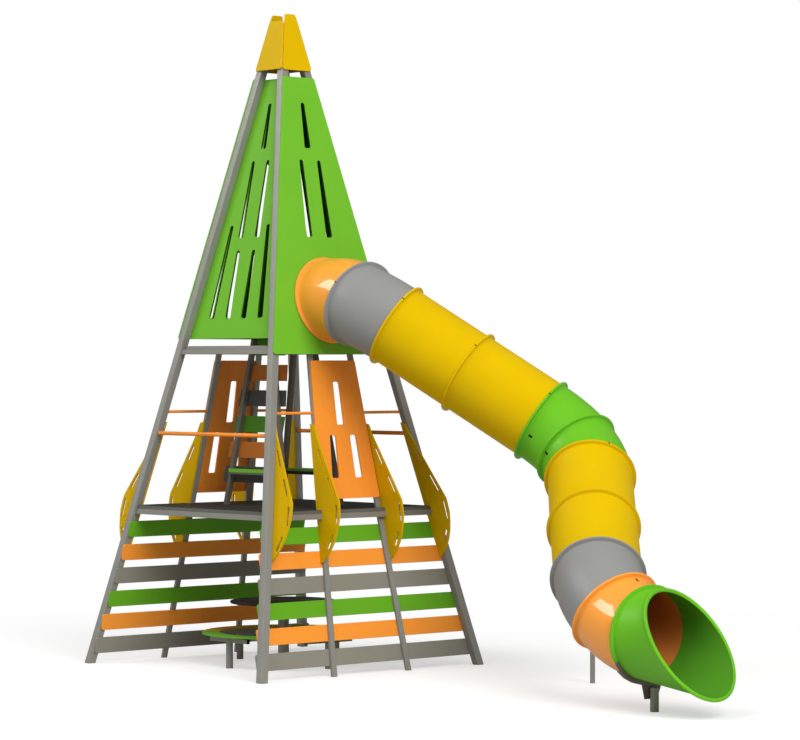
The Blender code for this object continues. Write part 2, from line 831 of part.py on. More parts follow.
RIDGE_FRONT = RIDGE_START + RIDGE
BAND_IN = FLANGE_R + GAP
BAND_OUT = FLANGE_R + 0.0103
BAND_BACK = -0.030
BAND_FRONT = 0.0170
BAND_STEPS = 7
PLATE_IN = TUBE_R + 0.0035
PLATE_OUT = FLANGE_R + 0.0100
PLATE_FRONT = 0.0178
PLATE_STEPS = 9
TONGUE_SIDE = 0.040
TONGUE_TOP_HALF = 0.113
TONGUE_LOW_HALF = 0.070
TONGUE_TOP = 0.400
TONGUE_LOW = 0.547
TONGUE_BACK = 0.0126
TONGUE_FRONT = 0.0183


def joint_point(across, down, ahead):
    """A point at the last joint: across, square down from the middle and ahead along the slide."""
    return exit_centre + joint_across * across - joint_up * down + joint_way * ahead


def crescent(name, inner, outer, steps, back, front):
    """A curved strip under the last joint that follows the tube's facets."""
    loops = []
    for ahead in (back, front):
        loop = []
        for radius, way in ((inner, 1), (outer, -1)):
            for k in range(steps + 1):
                angle = way * math.pi * (2 * k - steps) / TUBE_SIDES
                loop.append(joint_point(radius * math.sin(angle), radius * math.cos(angle), ahead))
        loops.append(loop)
    return loft(name, loops, STEEL_DARK, False)


saddle = crescent("slide_saddle", BAND_IN, BAND_OUT, BAND_STEPS, BAND_BACK, BAND_FRONT)
saddle_plate = crescent("saddle_plate", PLATE_IN, PLATE_OUT, PLATE_STEPS, RIDGE_FRONT + GAP, PLATE_FRONT)
tongue_loops = []
for ahead in (TONGUE_BACK, TONGUE_FRONT):
    corners = (
        (TONGUE_SIDE - TONGUE_TOP_HALF, TONGUE_TOP),
        (TONGUE_SIDE + TONGUE_TOP_HALF, TONGUE_TOP),
        (TONGUE_SIDE + TONGUE_LOW_HALF, TONGUE_LOW),
        (TONGUE_SIDE - TONGUE_LOW_HALF, TONGUE_LOW),
    )
    tongue_loops.append([joint_point(across, down, ahead) for across, down in corners])
fuse(saddle, [saddle_plate, loft("saddle_tongue", tongue_loops, STEEL_DARK, False)])
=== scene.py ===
import json
import math

import bmesh
import bpy
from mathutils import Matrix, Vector

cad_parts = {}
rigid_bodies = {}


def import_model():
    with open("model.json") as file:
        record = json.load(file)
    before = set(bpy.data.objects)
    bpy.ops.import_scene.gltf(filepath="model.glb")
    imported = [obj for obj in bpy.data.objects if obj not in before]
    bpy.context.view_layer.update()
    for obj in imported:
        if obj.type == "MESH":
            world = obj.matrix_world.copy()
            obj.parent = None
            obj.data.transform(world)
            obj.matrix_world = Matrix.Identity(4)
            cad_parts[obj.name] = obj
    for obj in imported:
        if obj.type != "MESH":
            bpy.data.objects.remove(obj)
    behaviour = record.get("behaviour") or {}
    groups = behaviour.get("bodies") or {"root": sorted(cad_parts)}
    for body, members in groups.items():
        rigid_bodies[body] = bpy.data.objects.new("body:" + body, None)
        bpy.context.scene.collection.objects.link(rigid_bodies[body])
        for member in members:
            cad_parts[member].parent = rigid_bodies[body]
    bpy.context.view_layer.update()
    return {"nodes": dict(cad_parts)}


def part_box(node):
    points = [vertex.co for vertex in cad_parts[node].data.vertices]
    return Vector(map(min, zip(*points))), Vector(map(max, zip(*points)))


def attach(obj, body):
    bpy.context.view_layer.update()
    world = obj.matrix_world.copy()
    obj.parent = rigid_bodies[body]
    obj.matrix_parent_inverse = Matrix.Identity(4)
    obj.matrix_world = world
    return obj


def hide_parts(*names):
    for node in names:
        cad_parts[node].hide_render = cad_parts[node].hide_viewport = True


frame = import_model()

# Camera
# It stands about 30 m off the corner between the slide side and the open left side, a little
# below mid height, with a long lens, which keeps the tower's edges nearly parallel.
front_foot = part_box("post_front_left")[0].y
rear_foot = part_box("post_rear_left")[1].y
TOWER_Y = (front_foot + rear_foot) / 2
TOWER = Vector((0, TOWER_Y, 0))
photo_lens = bpy.data.cameras.new("photo_camera")
photo_lens.sensor_width = 36
photo_lens.lens = 141.8
photo_lens.clip_end = 200
photo_camera = bpy.data.objects.new("photo_camera", photo_lens)
photo_camera.location = (-19.6363, TOWER_Y - 23.6248, 2.9244)
photo_camera.rotation_euler = (math.pi / 2 - 0.0020, 0, -0.7304)
SCENE_OBJECTS = bpy.context.scene.collection.objects
SCENE_OBJECTS.link(photo_camera)
bpy.context.scene.camera = photo_camera


# Floor and studio light
# A white seamless floor that fades into the white surround, and an even glow all round. A window on
# the left shows in glossy faces only; soft fills from the left and the slide side light the rest.
def wire(tree, target, values):
    """Sets a node's inputs, or wires them from another node's output."""
    for place, value in values.items():
        if isinstance(value, bpy.types.NodeSocket):
            tree.links.new(value, target.inputs[place])
        else:
            target.inputs[place].default_value = value


def node(tree, kind, values=None, **settings):
    """A node with its settings and its inputs."""
    made = tree.nodes.new(kind)
    for key, value in settings.items():
        setattr(made, key, value)
    wire(tree, made, values or {})
    return made


def blend(tree, share, first, second):
    """Two colours mixed by a share."""
    return node(tree, "ShaderNodeMix", {0: share, 6: first, 7: second}, data_type="RGBA").outputs[2]


def balance(tree, share, first, second):
    """Two numbers mixed by a share."""
    return node(tree, "ShaderNodeMix", {0: share, 2: first, 3: second}).outputs[0]


FADE_START = 5.5
FADE_END = 10.0
BOUNCE = 0.56
FLOOR_TONE = 0.55
FLOOR_LIFT = 0.50
GLOW_MATT = 0.31
GLOW_GLOSSY = 0.18
LIT_MIDDLE = Vector((0, 0, 2.8))
WHITE = (1, 1, 1, 1)
floor_mesh = bpy.data.meshes.new("studio_floor")
floor_mesh.from_pydata([(-90, -90, 0), (90, -90, 0), (90, 90, 0), (-90, 90, 0)], [], [(0, 1, 2, 3)])
studio_floor = bpy.data.objects.new("studio_floor", floor_mesh)
SCENE_OBJECTS.link(studio_floor)
floor_paint = bpy.data.materials.new("studio_floor")
floor_paint.use_nodes = True
floor_tree = floor_paint.node_tree
floor_shader = floor_tree.nodes["Principled BSDF"]
floor_place = node(floor_tree, "ShaderNodeTexCoord").outputs["Object"]
floor_reach = node(floor_tree, "ShaderNodeVectorMath", {0: floor_place}, operation="LENGTH").outputs
floor_range = {"Value": floor_reach["Value"], "From Min": FADE_START, "From Max": FADE_END}
floor_fade = node(floor_tree, "ShaderNodeMapRange", floor_range)
floor_seen = node(floor_tree, "ShaderNodeLightPath").outputs["Is Camera Ray"]
floor_tone = blend(floor_tree, floor_seen, (BOUNCE,) * 3 + (1,), (FLOOR_TONE,) * 3 + (1,))
floor_lift = balance(floor_tree, floor_seen, 0.0, FLOOR_LIFT)
wire(floor_tree, floor_shader, {"Base Color": floor_tone, "Roughness": 0.9, "Specular IOR Level": 0.1})
wire(floor_tree, floor_shader, {"Emission Color": WHITE, "Emission Strength": floor_lift})
floor_power = balance(floor_tree, floor_seen, BOUNCE, 1.0)
floor_glow = node(floor_tree, "ShaderNodeEmission", {"Color": WHITE, "Strength": floor_power})
floor_mix = node(
    floor_tree,
    "ShaderNodeMixShader",
    {0: floor_fade.outputs[0], 1: floor_shader.outputs[0], 2: floor_glow.outputs[0]},
)
floor_tree.links.new(floor_mix.outputs[0], floor_tree.nodes["Material Output"].inputs[0])
floor_mesh.materials.append(floor_paint)

surround = bpy.data.worlds.new("studio_surround")
surround.use_nodes = True
surround_tree = surround.node_tree
surround_glow = surround_tree.nodes["Background"]
surround_seen = node(surround_tree, "ShaderNodeBackground", {"Color": WHITE, "Strength": 1.0})
surround_path = node(surround_tree, "ShaderNodeLightPath").outputs
surround_power = balance(surround_tree, surround_path["Is Glossy Ray"], GLOW_MATT, GLOW_GLOSSY)
wire(surround_tree, surround_glow, {"Color": WHITE, "Strength": surround_power})
surround_mix = node(
    surround_tree,
    "ShaderNodeMixShader",
    {0: surround_path["Is Camera Ray"], 1: surround_glow.outputs[0], 2: surround_seen.outputs[0]},
)
surround_tree.links.new(surround_mix.outputs[0], surround_tree.nodes["World Output"].inputs[0])
bpy.context.scene.world = surround
bpy.context.scene.view_settings.view_transform = "Standard"


def softbox(name, direction, distance, size, power, matt, mirrored):
    """A square softbox that faces the middle of the structure from that direction."""
    lamp = bpy.data.lights.new(name, "AREA")
    lamp.shape = "SQUARE"
    lamp.size = size
    lamp.energy = power
    holder = bpy.data.objects.new(name, lamp)
    way = Vector(direction).normalized()
    holder.location = LIT_MIDDLE + way * distance
    holder.rotation_euler = (-way).to_track_quat("-Z", "Y").to_euler()
    holder.visible_diffuse = matt
    holder.visible_glossy = mirrored
    SCENE_OBJECTS.link(holder)


softbox("window_left", (-0.58, 0.60, 0.56), 36, 12.0, 5200, False, True)
softbox("fill_rear_left", (-0.58, 0.60, 0.56), 36, 12.0, 2400, True, False)
softbox("fill_high_left", (-0.52, 0.05, 0.85), 40, 22.0, 5200, True, False)
softbox("window_front", (-0.24, -0.78, 0.58), 40, 22.0, 13100, True, False)


# Surface effects
# Masks and heights that the finishes share: edges rubbed paler, dust low down and on ledges, the
# leather grain of boards, the orange peel of powder coat and the ripple of moulded plastic.
def effect(name, inputs, outputs):
    """An empty group of shader nodes with those inputs and outputs."""
    tree = bpy.data.node_groups.new(name, "ShaderNodeTree")
    for socket_name, value in inputs:
        entry = tree.interface.new_socket(socket_name, in_out="INPUT", socket_type="NodeSocketFloat")
        entry.default_value = value
    for socket_name in outputs:
        tree.interface.new_socket(socket_name, in_out="OUTPUT", socket_type="NodeSocketFloat")
    return tree, node(tree, "NodeGroupInput"), node(tree, "NodeGroupOutput")


def spread(tree, value, low, high, to_low, to_high):
    """The value moved from one range to another."""
    values = {"Value": value, "From Min": low, "From Max": high, "To Min": to_low, "To Max": to_high}
    return node(tree, "ShaderNodeMapRange", values).outputs[0]


def maths(tree, operation, *values):
    return node(tree, "ShaderNodeMath", dict(enumerate(values)), operation=operation).outputs[0]


def own_place(tree):
    """Where a point lies in its own object."""
    return node(tree, "ShaderNodeTexCoord").outputs["Object"]


def clouds(tree, place, scale, detail, stretch=None):
    """Soft random blotches, longer one way if stretched."""
    if stretch:
        place = node(tree, "ShaderNodeMapping", {"Vector": place, "Scale": stretch}).outputs[0]
    values = {"Vector": place, "Scale": scale, "Detail": detail}
    return node(tree, "ShaderNodeTexNoise", values).outputs["Fac"]


EDGE_WEAR, wear_in, wear_out = effect("edge_wear", (("Width", 0.004), ("Amount", 0.5)), ("Mask",))
wear_round = node(EDGE_WEAR, "ShaderNodeBevel", {"Radius": wear_in.outputs["Width"]}, samples=4)
wear_facing = node(EDGE_WEAR, "ShaderNodeNewGeometry")
wear_ways = {0: wear_round.outputs[0], 1: wear_facing.outputs["Normal"]}
wear_match = node(EDGE_WEAR, "ShaderNodeVectorMath", wear_ways, operation="DOT_PRODUCT")
wear_line = spread(EDGE_WEAR, wear_match.outputs["Value"], 0.998, 0.88, 0.0, 1.0)
wear_spots = spread(EDGE_WEAR, clouds(EDGE_WEAR, own_place(EDGE_WEAR), 26, 3), 0.40, 0.62, 0.25, 1.0)
wear_both = maths(EDGE_WEAR, "MULTIPLY", wear_line, wear_spots)
wear_mask = maths(EDGE_WEAR, "MULTIPLY", wear_both, wear_in.outputs["Amount"])
wire(EDGE_WEAR, wear_out, {"Mask": wear_mask})

DUST, dust_in, dust_out = effect("ground_dust", (("Reach", 0.3), ("Amount", 0.5)), ("Mask",))
dust_place = own_place(DUST)
dust_height = node(DUST, "ShaderNodeSeparateXYZ", {0: dust_place}).outputs["Z"]
dust_low = spread(DUST, dust_height, 0.0, dust_in.outputs["Reach"], 1.0, 0.0)
dust_spots = spread(DUST, clouds(DUST, dust_place, 9, 5), 0.35, 0.70, 0.2, 1.0)
dust_facing = node(DUST, "ShaderNodeNewGeometry").outputs["Normal"]
dust_up = node(DUST, "ShaderNodeSeparateXYZ", {0: dust_facing}).outputs["Z"]
dust_ledge = spread(DUST, dust_up, 0.75, 1.0, 0.0, 0.35)
dust_both = maths(DUST, "MULTIPLY", maths(DUST, "MAXIMUM", dust_low, dust_ledge), dust_spots)
dust_mask = maths(DUST, "MULTIPLY", dust_both, dust_in.outputs["Amount"])
wire(DUST, dust_out, {"Mask": dust_mask})

BOARD_GRAIN, board_in, board_out = effect("board_grain", (("Size", 420.0),), ("Tint", "Gloss", "Height"))
board_place = own_place(BOARD_GRAIN)
board_fine = clouds(BOARD_GRAIN, board_place, board_in.outputs["Size"], 2)
board_rub = clouds(BOARD_GRAIN, board_place, 14, 4, (1, 1, 0.16))
board_tint = clouds(BOARD_GRAIN, board_place, 2.3, 3)
wire(BOARD_GRAIN, board_out, {"Tint": board_tint, "Gloss": board_rub, "Height": board_fine})

COAT_GRAIN, coat_in, coat_out = effect("coat_grain", (("Size", 260.0),), ("Tint", "Gloss", "Height"))
coat_place = own_place(COAT_GRAIN)
coat_values = {"Vector": coat_place, "Scale": coat_in.outputs["Size"]}
coat_cells = node(COAT_GRAIN, "ShaderNodeTexVoronoi", coat_values, feature="SMOOTH_F1").outputs
coat_tint = clouds(COAT_GRAIN, coat_place, 3.1, 3)
coat_gloss = clouds(COAT_GRAIN, coat_place, 17, 3)
wire(COAT_GRAIN, coat_out, {"Tint": coat_tint, "Gloss": coat_gloss, "Height": coat_cells["Distance"]})

MOULD_SKIN, mould_in, mould_out = effect("mould_skin", (("Size", 3.4),), ("Tint", "Gloss", "Height"))
mould_place = own_place(MOULD_SKIN)
mould_wave = clouds(MOULD_SKIN, mould_place, mould_in.outputs["Size"], 1)
mould_pits = maths(MOULD_SKIN, "MULTIPLY", clouds(MOULD_SKIN, mould_place, 310, 2), 0.012)
mould_sum = maths(MOULD_SKIN, "ADD", mould_wave, mould_pits)
mould_tint = clouds(MOULD_SKIN, mould_place, 1.9, 4)
mould_gloss = clouds(MOULD_SKIN, mould_place, 7, 5, (1, 1, 0.4))
wire(MOULD_SKIN, mould_out, {"Tint": mould_tint, "Gloss": mould_gloss, "Height": mould_sum})


def linear(colour, gain=1.0):
    """A screen colour as the numbers a shader takes."""
    return [min(1.0, gain * ((c / 255 + 0.055) / 1.055) ** 2.4) for c in colour] + [1.0]


WEAR_WIDTH = 0.004
PALE_OWN = 0.72
PALE_LIGHT = 0.26
PALE_WHITE = 0.02
DUST_REACH = 0.30
DUST_COLOUR = (0.33, 0.29, 0.23, 1)


def finish(name, colour, grain, rough, bump, wear=0.25, dust=0.0, metal=0.0, coat=0.0, sheen=0.12):
    """A material: a colour with slow tints, uneven gloss, a fine relief, pale edges and dust."""
    material = bpy.data.materials.new(name)
    material.use_nodes = True
    tree = material.node_tree
    shader = tree.nodes["Principled BSDF"]
    skin = node(tree, "ShaderNodeGroup", node_tree=grain).outputs
    tint = blend(tree, skin["Tint"], linear(colour, 0.93), linear(colour, 1.07))
    rubbed = node(tree, "ShaderNodeGroup", {"Width": WEAR_WIDTH, "Amount": wear}, node_tree=EDGE_WEAR)
    plain_tone = linear(colour)[:3]
    pale = [c * PALE_OWN + PALE_LIGHT * max(plain_tone) + PALE_WHITE for c in plain_tone] + [1.0]
    tint = blend(tree, rubbed.outputs["Mask"], tint, pale)
    if dust:
        dusty = node(tree, "ShaderNodeGroup", {"Reach": DUST_REACH, "Amount": dust}, node_tree=DUST)
        tint = blend(tree, dusty.outputs["Mask"], tint, DUST_COLOUR)
    gloss = spread(tree, skin["Gloss"], 0.3, 0.7, rough - 0.05, rough + 0.08)
    relief = node(tree, "ShaderNodeBump", {"Strength": 0.5, "Distance": bump, "Height": skin["Height"]})
    wire(tree, shader, {"Base Color": tint, "Roughness": gloss, "Normal": relief.outputs[0]})
    wire(tree, shader, {"Metallic": metal, "Specular IOR Level": sheen})
    wire(tree, shader, {"Coat Weight": coat, "Coat Roughness": 0.02})
    return material


# Corner posts
# Four leaning 80 mm square steel tubes, powder-coated grey, from the ground into the cap. Their
# drawn corners are rounded. Most other steel uprights get the same coat; the posts inside the
# tower get a darker copy of it, painted shade.
def plain(obj):
    """Turns what the modifiers make of an object into its own mesh."""
    graph = bpy.context.evaluated_depsgraph_get()
    mesh = bpy.data.meshes.new_from_object(obj.evaluated_get(graph))
    obj.modifiers.clear()
    obj.data = mesh
    mesh.name = obj.name
    return obj


def keep(obj, slot, *nodes):
    """The piece belongs to the structure and stands for those CAD nodes."""
    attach(obj, "root")
    if nodes:
        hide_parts(*nodes)
    return obj


def made(name, shape, materials):
    """An object from a finished bmesh."""
    bmesh.ops.recalc_face_normals(shape, faces=shape.faces)
    mesh = bpy.data.meshes.new(name)
    shape.to_mesh(mesh)
    shape.free()
    for material in materials:
        mesh.materials.append(material)
    obj = bpy.data.objects.new(name, mesh)
    SCENE_OBJECTS.link(obj)
    return obj


def soften(obj, width, steps=2):
    """Rounds the sharp edges a little and shades the faces evenly."""
    obj.data.shade_smooth()
    bevel = obj.modifiers.new("soft_edges", "BEVEL")
    bevel.width = width
    bevel.segments = steps
    bevel.limit_method = "ANGLE"
    bevel.angle_limit = math.radians(32)
    shading = obj.modifiers.new("even_shading", "WEIGHTED_NORMAL")
    shading.keep_sharp = True
    return plain(obj)


BOARD_EASE = 0.002


def redraw(name, key, slot, materials, width, pick=None, cut=None, move=None):
    """Draws a CAD node again with rounded edges. Where given, pick chooses a face's material, cut is
    a height to split at, and move shifts a corner."""
    shape = bmesh.new()
    shape.from_mesh(frame["nodes"][key].data)
    for face in shape.faces:
        face.material_index = 0
    bmesh.ops.remove_doubles(shape, verts=shape.verts, dist=0.00001)
    bmesh.ops.dissolve_limit(shape, angle_limit=math.radians(0.5), verts=shape.verts, edges=shape.edges)
    if cut:
        everything = shape.verts[:] + shape.edges[:] + shape.faces[:]
        bmesh.ops.bisect_plane(shape, geom=everything, plane_co=(0, 0, cut), plane_no=(0, 0, 1))
    if move:
        for vert in shape.verts:
            move(vert)
        shape.normal_update()
    if pick:
        bmesh.ops.recalc_face_normals(shape, faces=shape.faces)
        for face in shape.faces:
            face.material_index = pick(face)
    keep(soften(made(name, shape, materials), width), slot, key)


post_coat = finish(
    "post_coat", (151, 150, 143), COAT_GRAIN, 0.42, 0.0004, wear=0.30, dust=0.25, metal=0.25
)
POST_EASE = 0.006
for corner in ("front_left", "front_right", "rear_left", "rear_right"):
    redraw(f"post_{corner}_tube", f"post_{corner}", "post_grey", [post_coat], POST_EASE)

# Slat walls
# Six boards low in the front and rear walls, grey, orange and green in turn from the ground, each
# screwed to the two flat studs and the corner posts in front of them.
BASE_X = 1.3975
BASE_Y = 1.3642
APEX_X = 6.6138
APEX_Y = 6.7447
LEAN_Y = math.atan(BASE_Y / APEX_Y)


def half_x(z):
    return BASE_X * (1 - z / APEX_X)


def half_y(z):
    return BASE_Y * (1 - z / APEX_Y)


SLAT_ROWS = 6
SLAT_LOW = 0.100
SLAT_PITCH = 0.2269
SLAT_HIGH = 0.157
SLAT_THICK = 0.019
SLAT_CORNER = 0.020
SLAT_SHORT = 0.005


def geometry_tree(name, inputs):
    """An empty tree of geometry nodes with those inputs, and its two ends."""
    tree = bpy.data.node_groups.new(name, "GeometryNodeTree")
    tree.interface.new_socket("Geometry", in_out="OUTPUT", socket_type="NodeSocketGeometry")
    for socket_name, kind in inputs:
        tree.interface.new_socket(socket_name, in_out="INPUT", socket_type=f"NodeSocket{kind}")
    return tree, node(tree, "NodeGroupInput").outputs, node(tree, "NodeGroupOutput").inputs


slat_tree, slat_in, slat_out = geometry_tree(
    "slat_wall",
    (
        ("Rows", "Int"),
        ("First Middle", "Vector"),
        ("Row Step", "Vector"),
        ("First Half Width", "Float"),
        ("Narrowing", "Float"),
        ("Height", "Float"),
        ("Thickness", "Float"),
        ("Corner", "Float"),
        ("Lean", "Vector"),
        ("Turn", "Vector"),
        ("Shift", "Vector"),
        ("First Colour", "Material"),
        ("Second Colour", "Material"),
        ("Third Colour", "Material"),
    ),
)
slat_outline = node(
    slat_tree, "GeometryNodeCurvePrimitiveQuadrilateral", {"Width": 2.0, "Height": slat_in["Height"]}
)
slat_round = node(
    slat_tree,
    "GeometryNodeFilletCurve",
    {"Curve": slat_outline.outputs[0], "Radius": slat_in["Corner"], "Count": 5},
    mode="POLY",
)
slat_face = node(slat_tree, "GeometryNodeFillCurve", {"Curve": slat_round.outputs[0]}, mode="NGONS")
slat_body = node(
    slat_tree,
    "GeometryNodeExtrudeMesh",
    {"Mesh": slat_face.outputs[0], "Offset Scale": slat_in["Thickness"], "Individual": False},
)
slat_back = node(slat_tree, "GeometryNodeFlipFaces", {"Mesh": slat_face.outputs[0]})
slat_both = node(slat_tree, "GeometryNodeJoinGeometry")
slat_tree.links.new(slat_body.outputs[0], slat_both.inputs[0])
slat_tree.links.new(slat_back.outputs[0], slat_both.inputs[0])
slat_whole = node(
    slat_tree, "GeometryNodeMergeByDistance", {"Geometry": slat_both.outputs[0], "Distance": 0.0001}
)
slat_stand = {"Geometry": slat_whole.outputs[0], "Rotation": (math.pi / 2, 0, 0)}
slat_upright = node(slat_tree, "GeometryNodeTransform", slat_stand)
slat_line = {"Count": slat_in["Rows"], "Start Location": slat_in["First Middle"]}
slat_points = node(slat_tree, "GeometryNodeMeshLine", slat_line | {"Offset": slat_in["Row Step"]})
slat_row = node(slat_tree, "GeometryNodeInputIndex").outputs[0]
slat_kept_row = node(slat_tree, "GeometryNodeCaptureAttribute", {0: slat_points.outputs[0]})
slat_kept_row.capture_items.new("INT", "Row")
slat_tree.links.new(slat_row, slat_kept_row.inputs[1])
slat_loss = maths(slat_tree, "MULTIPLY", slat_row, slat_in["Narrowing"])
slat_half = maths(slat_tree, "SUBTRACT", slat_in["First Half Width"], slat_loss)
slat_size = node(slat_tree, "ShaderNodeCombineXYZ", {"X": slat_half, "Y": 1.0, "Z": 1.0})
slat_copies = node(
    slat_tree,
    "GeometryNodeInstanceOnPoints",
    {
        "Points": slat_kept_row.outputs[0],
        "Instance": slat_upright.outputs[0],
        "Rotation": slat_in["Lean"],
        "Scale": slat_size.outputs[0],
    },
)
slat_placed = node(
    slat_tree,
    "GeometryNodeTransform",
    {"Geometry": slat_copies.outputs[0], "Translation": slat_in["Shift"], "Rotation": slat_in["Turn"]},
)
slat_real = node(slat_tree, "GeometryNodeRealizeInstances", {0: slat_placed.outputs[0]}).outputs[0]
for remainder, colour_name in enumerate(("First Colour", "Second Colour", "Third Colour")):
    slat_turn = maths(slat_tree, "MODULO", slat_kept_row.outputs[1], 3.0)
    slat_match = maths(slat_tree, "COMPARE", slat_turn, float(remainder), 0.1)
    slat_real = node(
        slat_tree,
        "GeometryNodeSetMaterial",
        {"Geometry": slat_real, "Selection": slat_match, "Material": slat_in[colour_name]},
    ).outputs[0]
slat_tree.links.new(slat_real, slat_out[0])


def from_tree(name, tree, values, base=None):
    """An object whose mesh a tree of geometry nodes makes from those named inputs."""
    obj = bpy.data.objects.new(name, base or bpy.data.meshes.new(name))
    SCENE_OBJECTS.link(obj)
    maker = obj.modifiers.new("maker", "NODES")
    maker.node_group = tree
    for item in tree.interface.items_tree:
        if item.item_type == "SOCKET" and item.in_out == "INPUT" and item.name in values:
            maker[item.identifier] = values[item.name]
    return obj


def stack(shape, loops):
    """Adds a body that joins loops of points in turn, closed at both ends."""
    rings = [[shape.verts.new(p) for p in loop] for loop in loops]
    for low, high in zip(rings, rings[1:]):
        for i in range(len(low)):
            j = (i + 1) % len(low)
            shape.faces.new((low[i], low[j], high[j], high[i]))
    shape.faces.new(rings[0][::-1])
    shape.faces.new(rings[-1])


def strut(shape, corners_at, heights):
    """Adds a straight upright body with a loop of corners at each height."""
    stack(shape, [corners_at(z) for z in heights])


slat_grey = finish("slat_grey", (140, 137, 125), BOARD_GRAIN, 0.50, 0.0003, wear=0.15, dust=0.25)
slat_orange = finish("slat_orange", (252, 154, 56), BOARD_GRAIN, 0.40, 0.0003, wear=0.15, dust=0.15)
slat_green = finish("slat_green", (102, 170, 36), BOARD_GRAIN, 0.40, 0.0003, wear=0.15, dust=0.15)
STUD_HALF = 0.030
STUD_OUT = 0.050
STUD_BACK = 0.0798
STUD_TOP = 3.0147
SLAT_DEPTH = 0.0803
for side, turn in (("front", 0.0), ("rear", math.pi)):
    middle = SLAT_LOW + SLAT_HIGH / 2
    slats = from_tree(
        f"{side}_slats",
        slat_tree,
        {
            "Rows": SLAT_ROWS,
            "First Middle": (0, SLAT_DEPTH - half_y(middle), middle),
            "Row Step": (0, SLAT_PITCH * BASE_Y / APEX_Y, SLAT_PITCH),
            "First Half Width": half_x(middle) - SLAT_SHORT,
            "Narrowing": SLAT_PITCH * BASE_X / APEX_X,
            "Height": SLAT_HIGH,
            "Thickness": -SLAT_THICK,
            "Corner": SLAT_CORNER,
            "Lean": (-LEAN_Y, 0, 0),
            "Turn": (0, 0, turn),
            "Shift": (0, TOWER_Y, 0),
            "First Colour": slat_grey,
            "Second Colour": slat_orange,
            "Third Colour": slat_green,
        },
    )
    plain(slats)
    keep(soften(slats, BOARD_EASE), "slat_grey", f"{side}_slat_wall")
    studs = bmesh.new()
    flip = 1 if side == "front" else -1
    for sign in (-1, 1):

        def stud_corners(z, sign=sign, flip=flip):
            x = sign * half_x(z) / 3
            across = (-STUD_HALF, STUD_HALF, STUD_HALF, -STUD_HALF)
            depths = (STUD_OUT, STUD_OUT, STUD_BACK, STUD_BACK)
            pairs = zip(across, depths)
            return [Vector((flip * (x + s), flip * (d - half_y(z)) + TOWER_Y, z)) for s, d in pairs]

        strut(studs, stud_corners, (0, STUD_TOP))
    keep(soften(made(f"{side}_studs", studs, [post_coat]), 0.004), "slat_grey", f"{side}_slat_wall")

# Platform and high deck
# Dark anti-slip boards on pale grey steel frames. The edge shows the board above and the frame
# below it. The high deck is the same build on four beams, with a hatch.
deck_top = finish("deck_top", (48, 47, 44), BOARD_GRAIN, 0.62, 0.0010, wear=0.3, dust=0.12)
deck_edge = finish("deck_edge", (96, 94, 88), BOARD_GRAIN, 0.55, 0.0003, wear=0.3)
deck_frame = finish("deck_frame", (140, 138, 130), COAT_GRAIN, 0.42, 0.0004, wear=0.3, metal=0.25)
DECK_PAINTS = [deck_top, deck_edge, deck_frame]
PLATFORM_SPLIT = 1.512
FACES_UP = 0.9


def deck_part(face):
    if face.normal.z > FACES_UP:
        return 0
    return 1 if face.calc_center_median().z > PLATFORM_SPLIT else 2


redraw("platform_deck", "platform", "deck_grey", DECK_PAINTS, 0.003, deck_part, PLATFORM_SPLIT)


def high_deck_part(face):
    return 0 if face.normal.z > FACES_UP else 2


redraw("upper_deck_frame", "upper_deck", "deck_grey", DECK_PAINTS, BOARD_EASE, high_deck_part)

# Green panels
# Four tall boards with long slots round the high deck; the front one has the slide's round mouth.
# The front and left boards' slots widen downwards to a square foot. The inner faces and the slot
# walls are a darker green: painted shade.
green_board = finish("green_board", (112, 184, 46), BOARD_GRAIN, 0.36, 0.0003, wear=0.12)
# A darker copy of the green: painted shade for the panels' inner faces and slot walls.
green_painted_shade = finish("green_painted_shade", (48, 88, 20), BOARD_GRAIN, 0.45, 0.0003, wear=0.0, sheen=0.05)
SLOT_NEAR = 0.001
SLOT_CORNER = 0.014
CORNER_TURN = math.radians(60)
FOOT_TURN = math.radians(75)
UPPER_SLOTS = (((0, 5.450), (0, 5.005), 0.068), ((0.110, 4.890), (0.125, 4.140), 0.066))
LOWER_SLOTS = (((0.117, 4.020), (0.119, 3.360), 0.070), ((0.275, 4.265), (0.370, 3.362), 0.072))


def in_slot(s, z, slots):
    """The drawn slot that a point lies in or on: its top, its direction, its length and half its width,
    and how far down and aside the point lies."""
    for (top_s, top_z), (foot_s, foot_z), width in slots:
        flip = -1 if s < 0 else 1
        top = Vector((flip * top_s, top_z))
        slope = Vector((flip * foot_s, foot_z)) - top
        along = slope.normalized()
        offset = Vector((s, z)) - top
        down = offset.dot(along)
        aside = offset.dot(Vector((-along.y, along.x)))
        within = -SLOT_NEAR < down < slope.length + SLOT_NEAR
        if within and abs(aside) < width / 2 + SLOT_NEAR:
            return top, along, slope.length, width / 2, down, aside
    return None


def reshape(slots, flat, top_share, foot_share, round_top):
    """Moves the corners on drawn slots' edges: other widths at the top and the foot, and square ends."""

    def move(vert):
        place = vert.co - TOWER
        found = in_slot(place[flat], place.z, slots)
        if not found:
            return
        top, along, length, half, down, aside = found
        upper = down <= half + SLOT_NEAR
        if upper and round_top:
            down, aside = down * top_share, aside * top_share
        else:
            deep = half - down if upper else down - length + half
            turn = math.asin(min(1.0, max(0.0, deep / half)))
            share = min(1.0, turn / CORNER_TURN) * math.pi / 2
            edge = half * (top_share if upper else foot_share) - SLOT_CORNER * (1 - math.cos(share))
            short = SLOT_CORNER * (1 - math.sin(share))
            down = short if upper else length - short
            aside = math.copysign(edge, aside) if turn < FOOT_TURN else 0.0
        point = top + along * down + Vector((-along.y, along.x)) * aside
        place[flat], place.z = point
        vert.co = place + TOWER

    return move


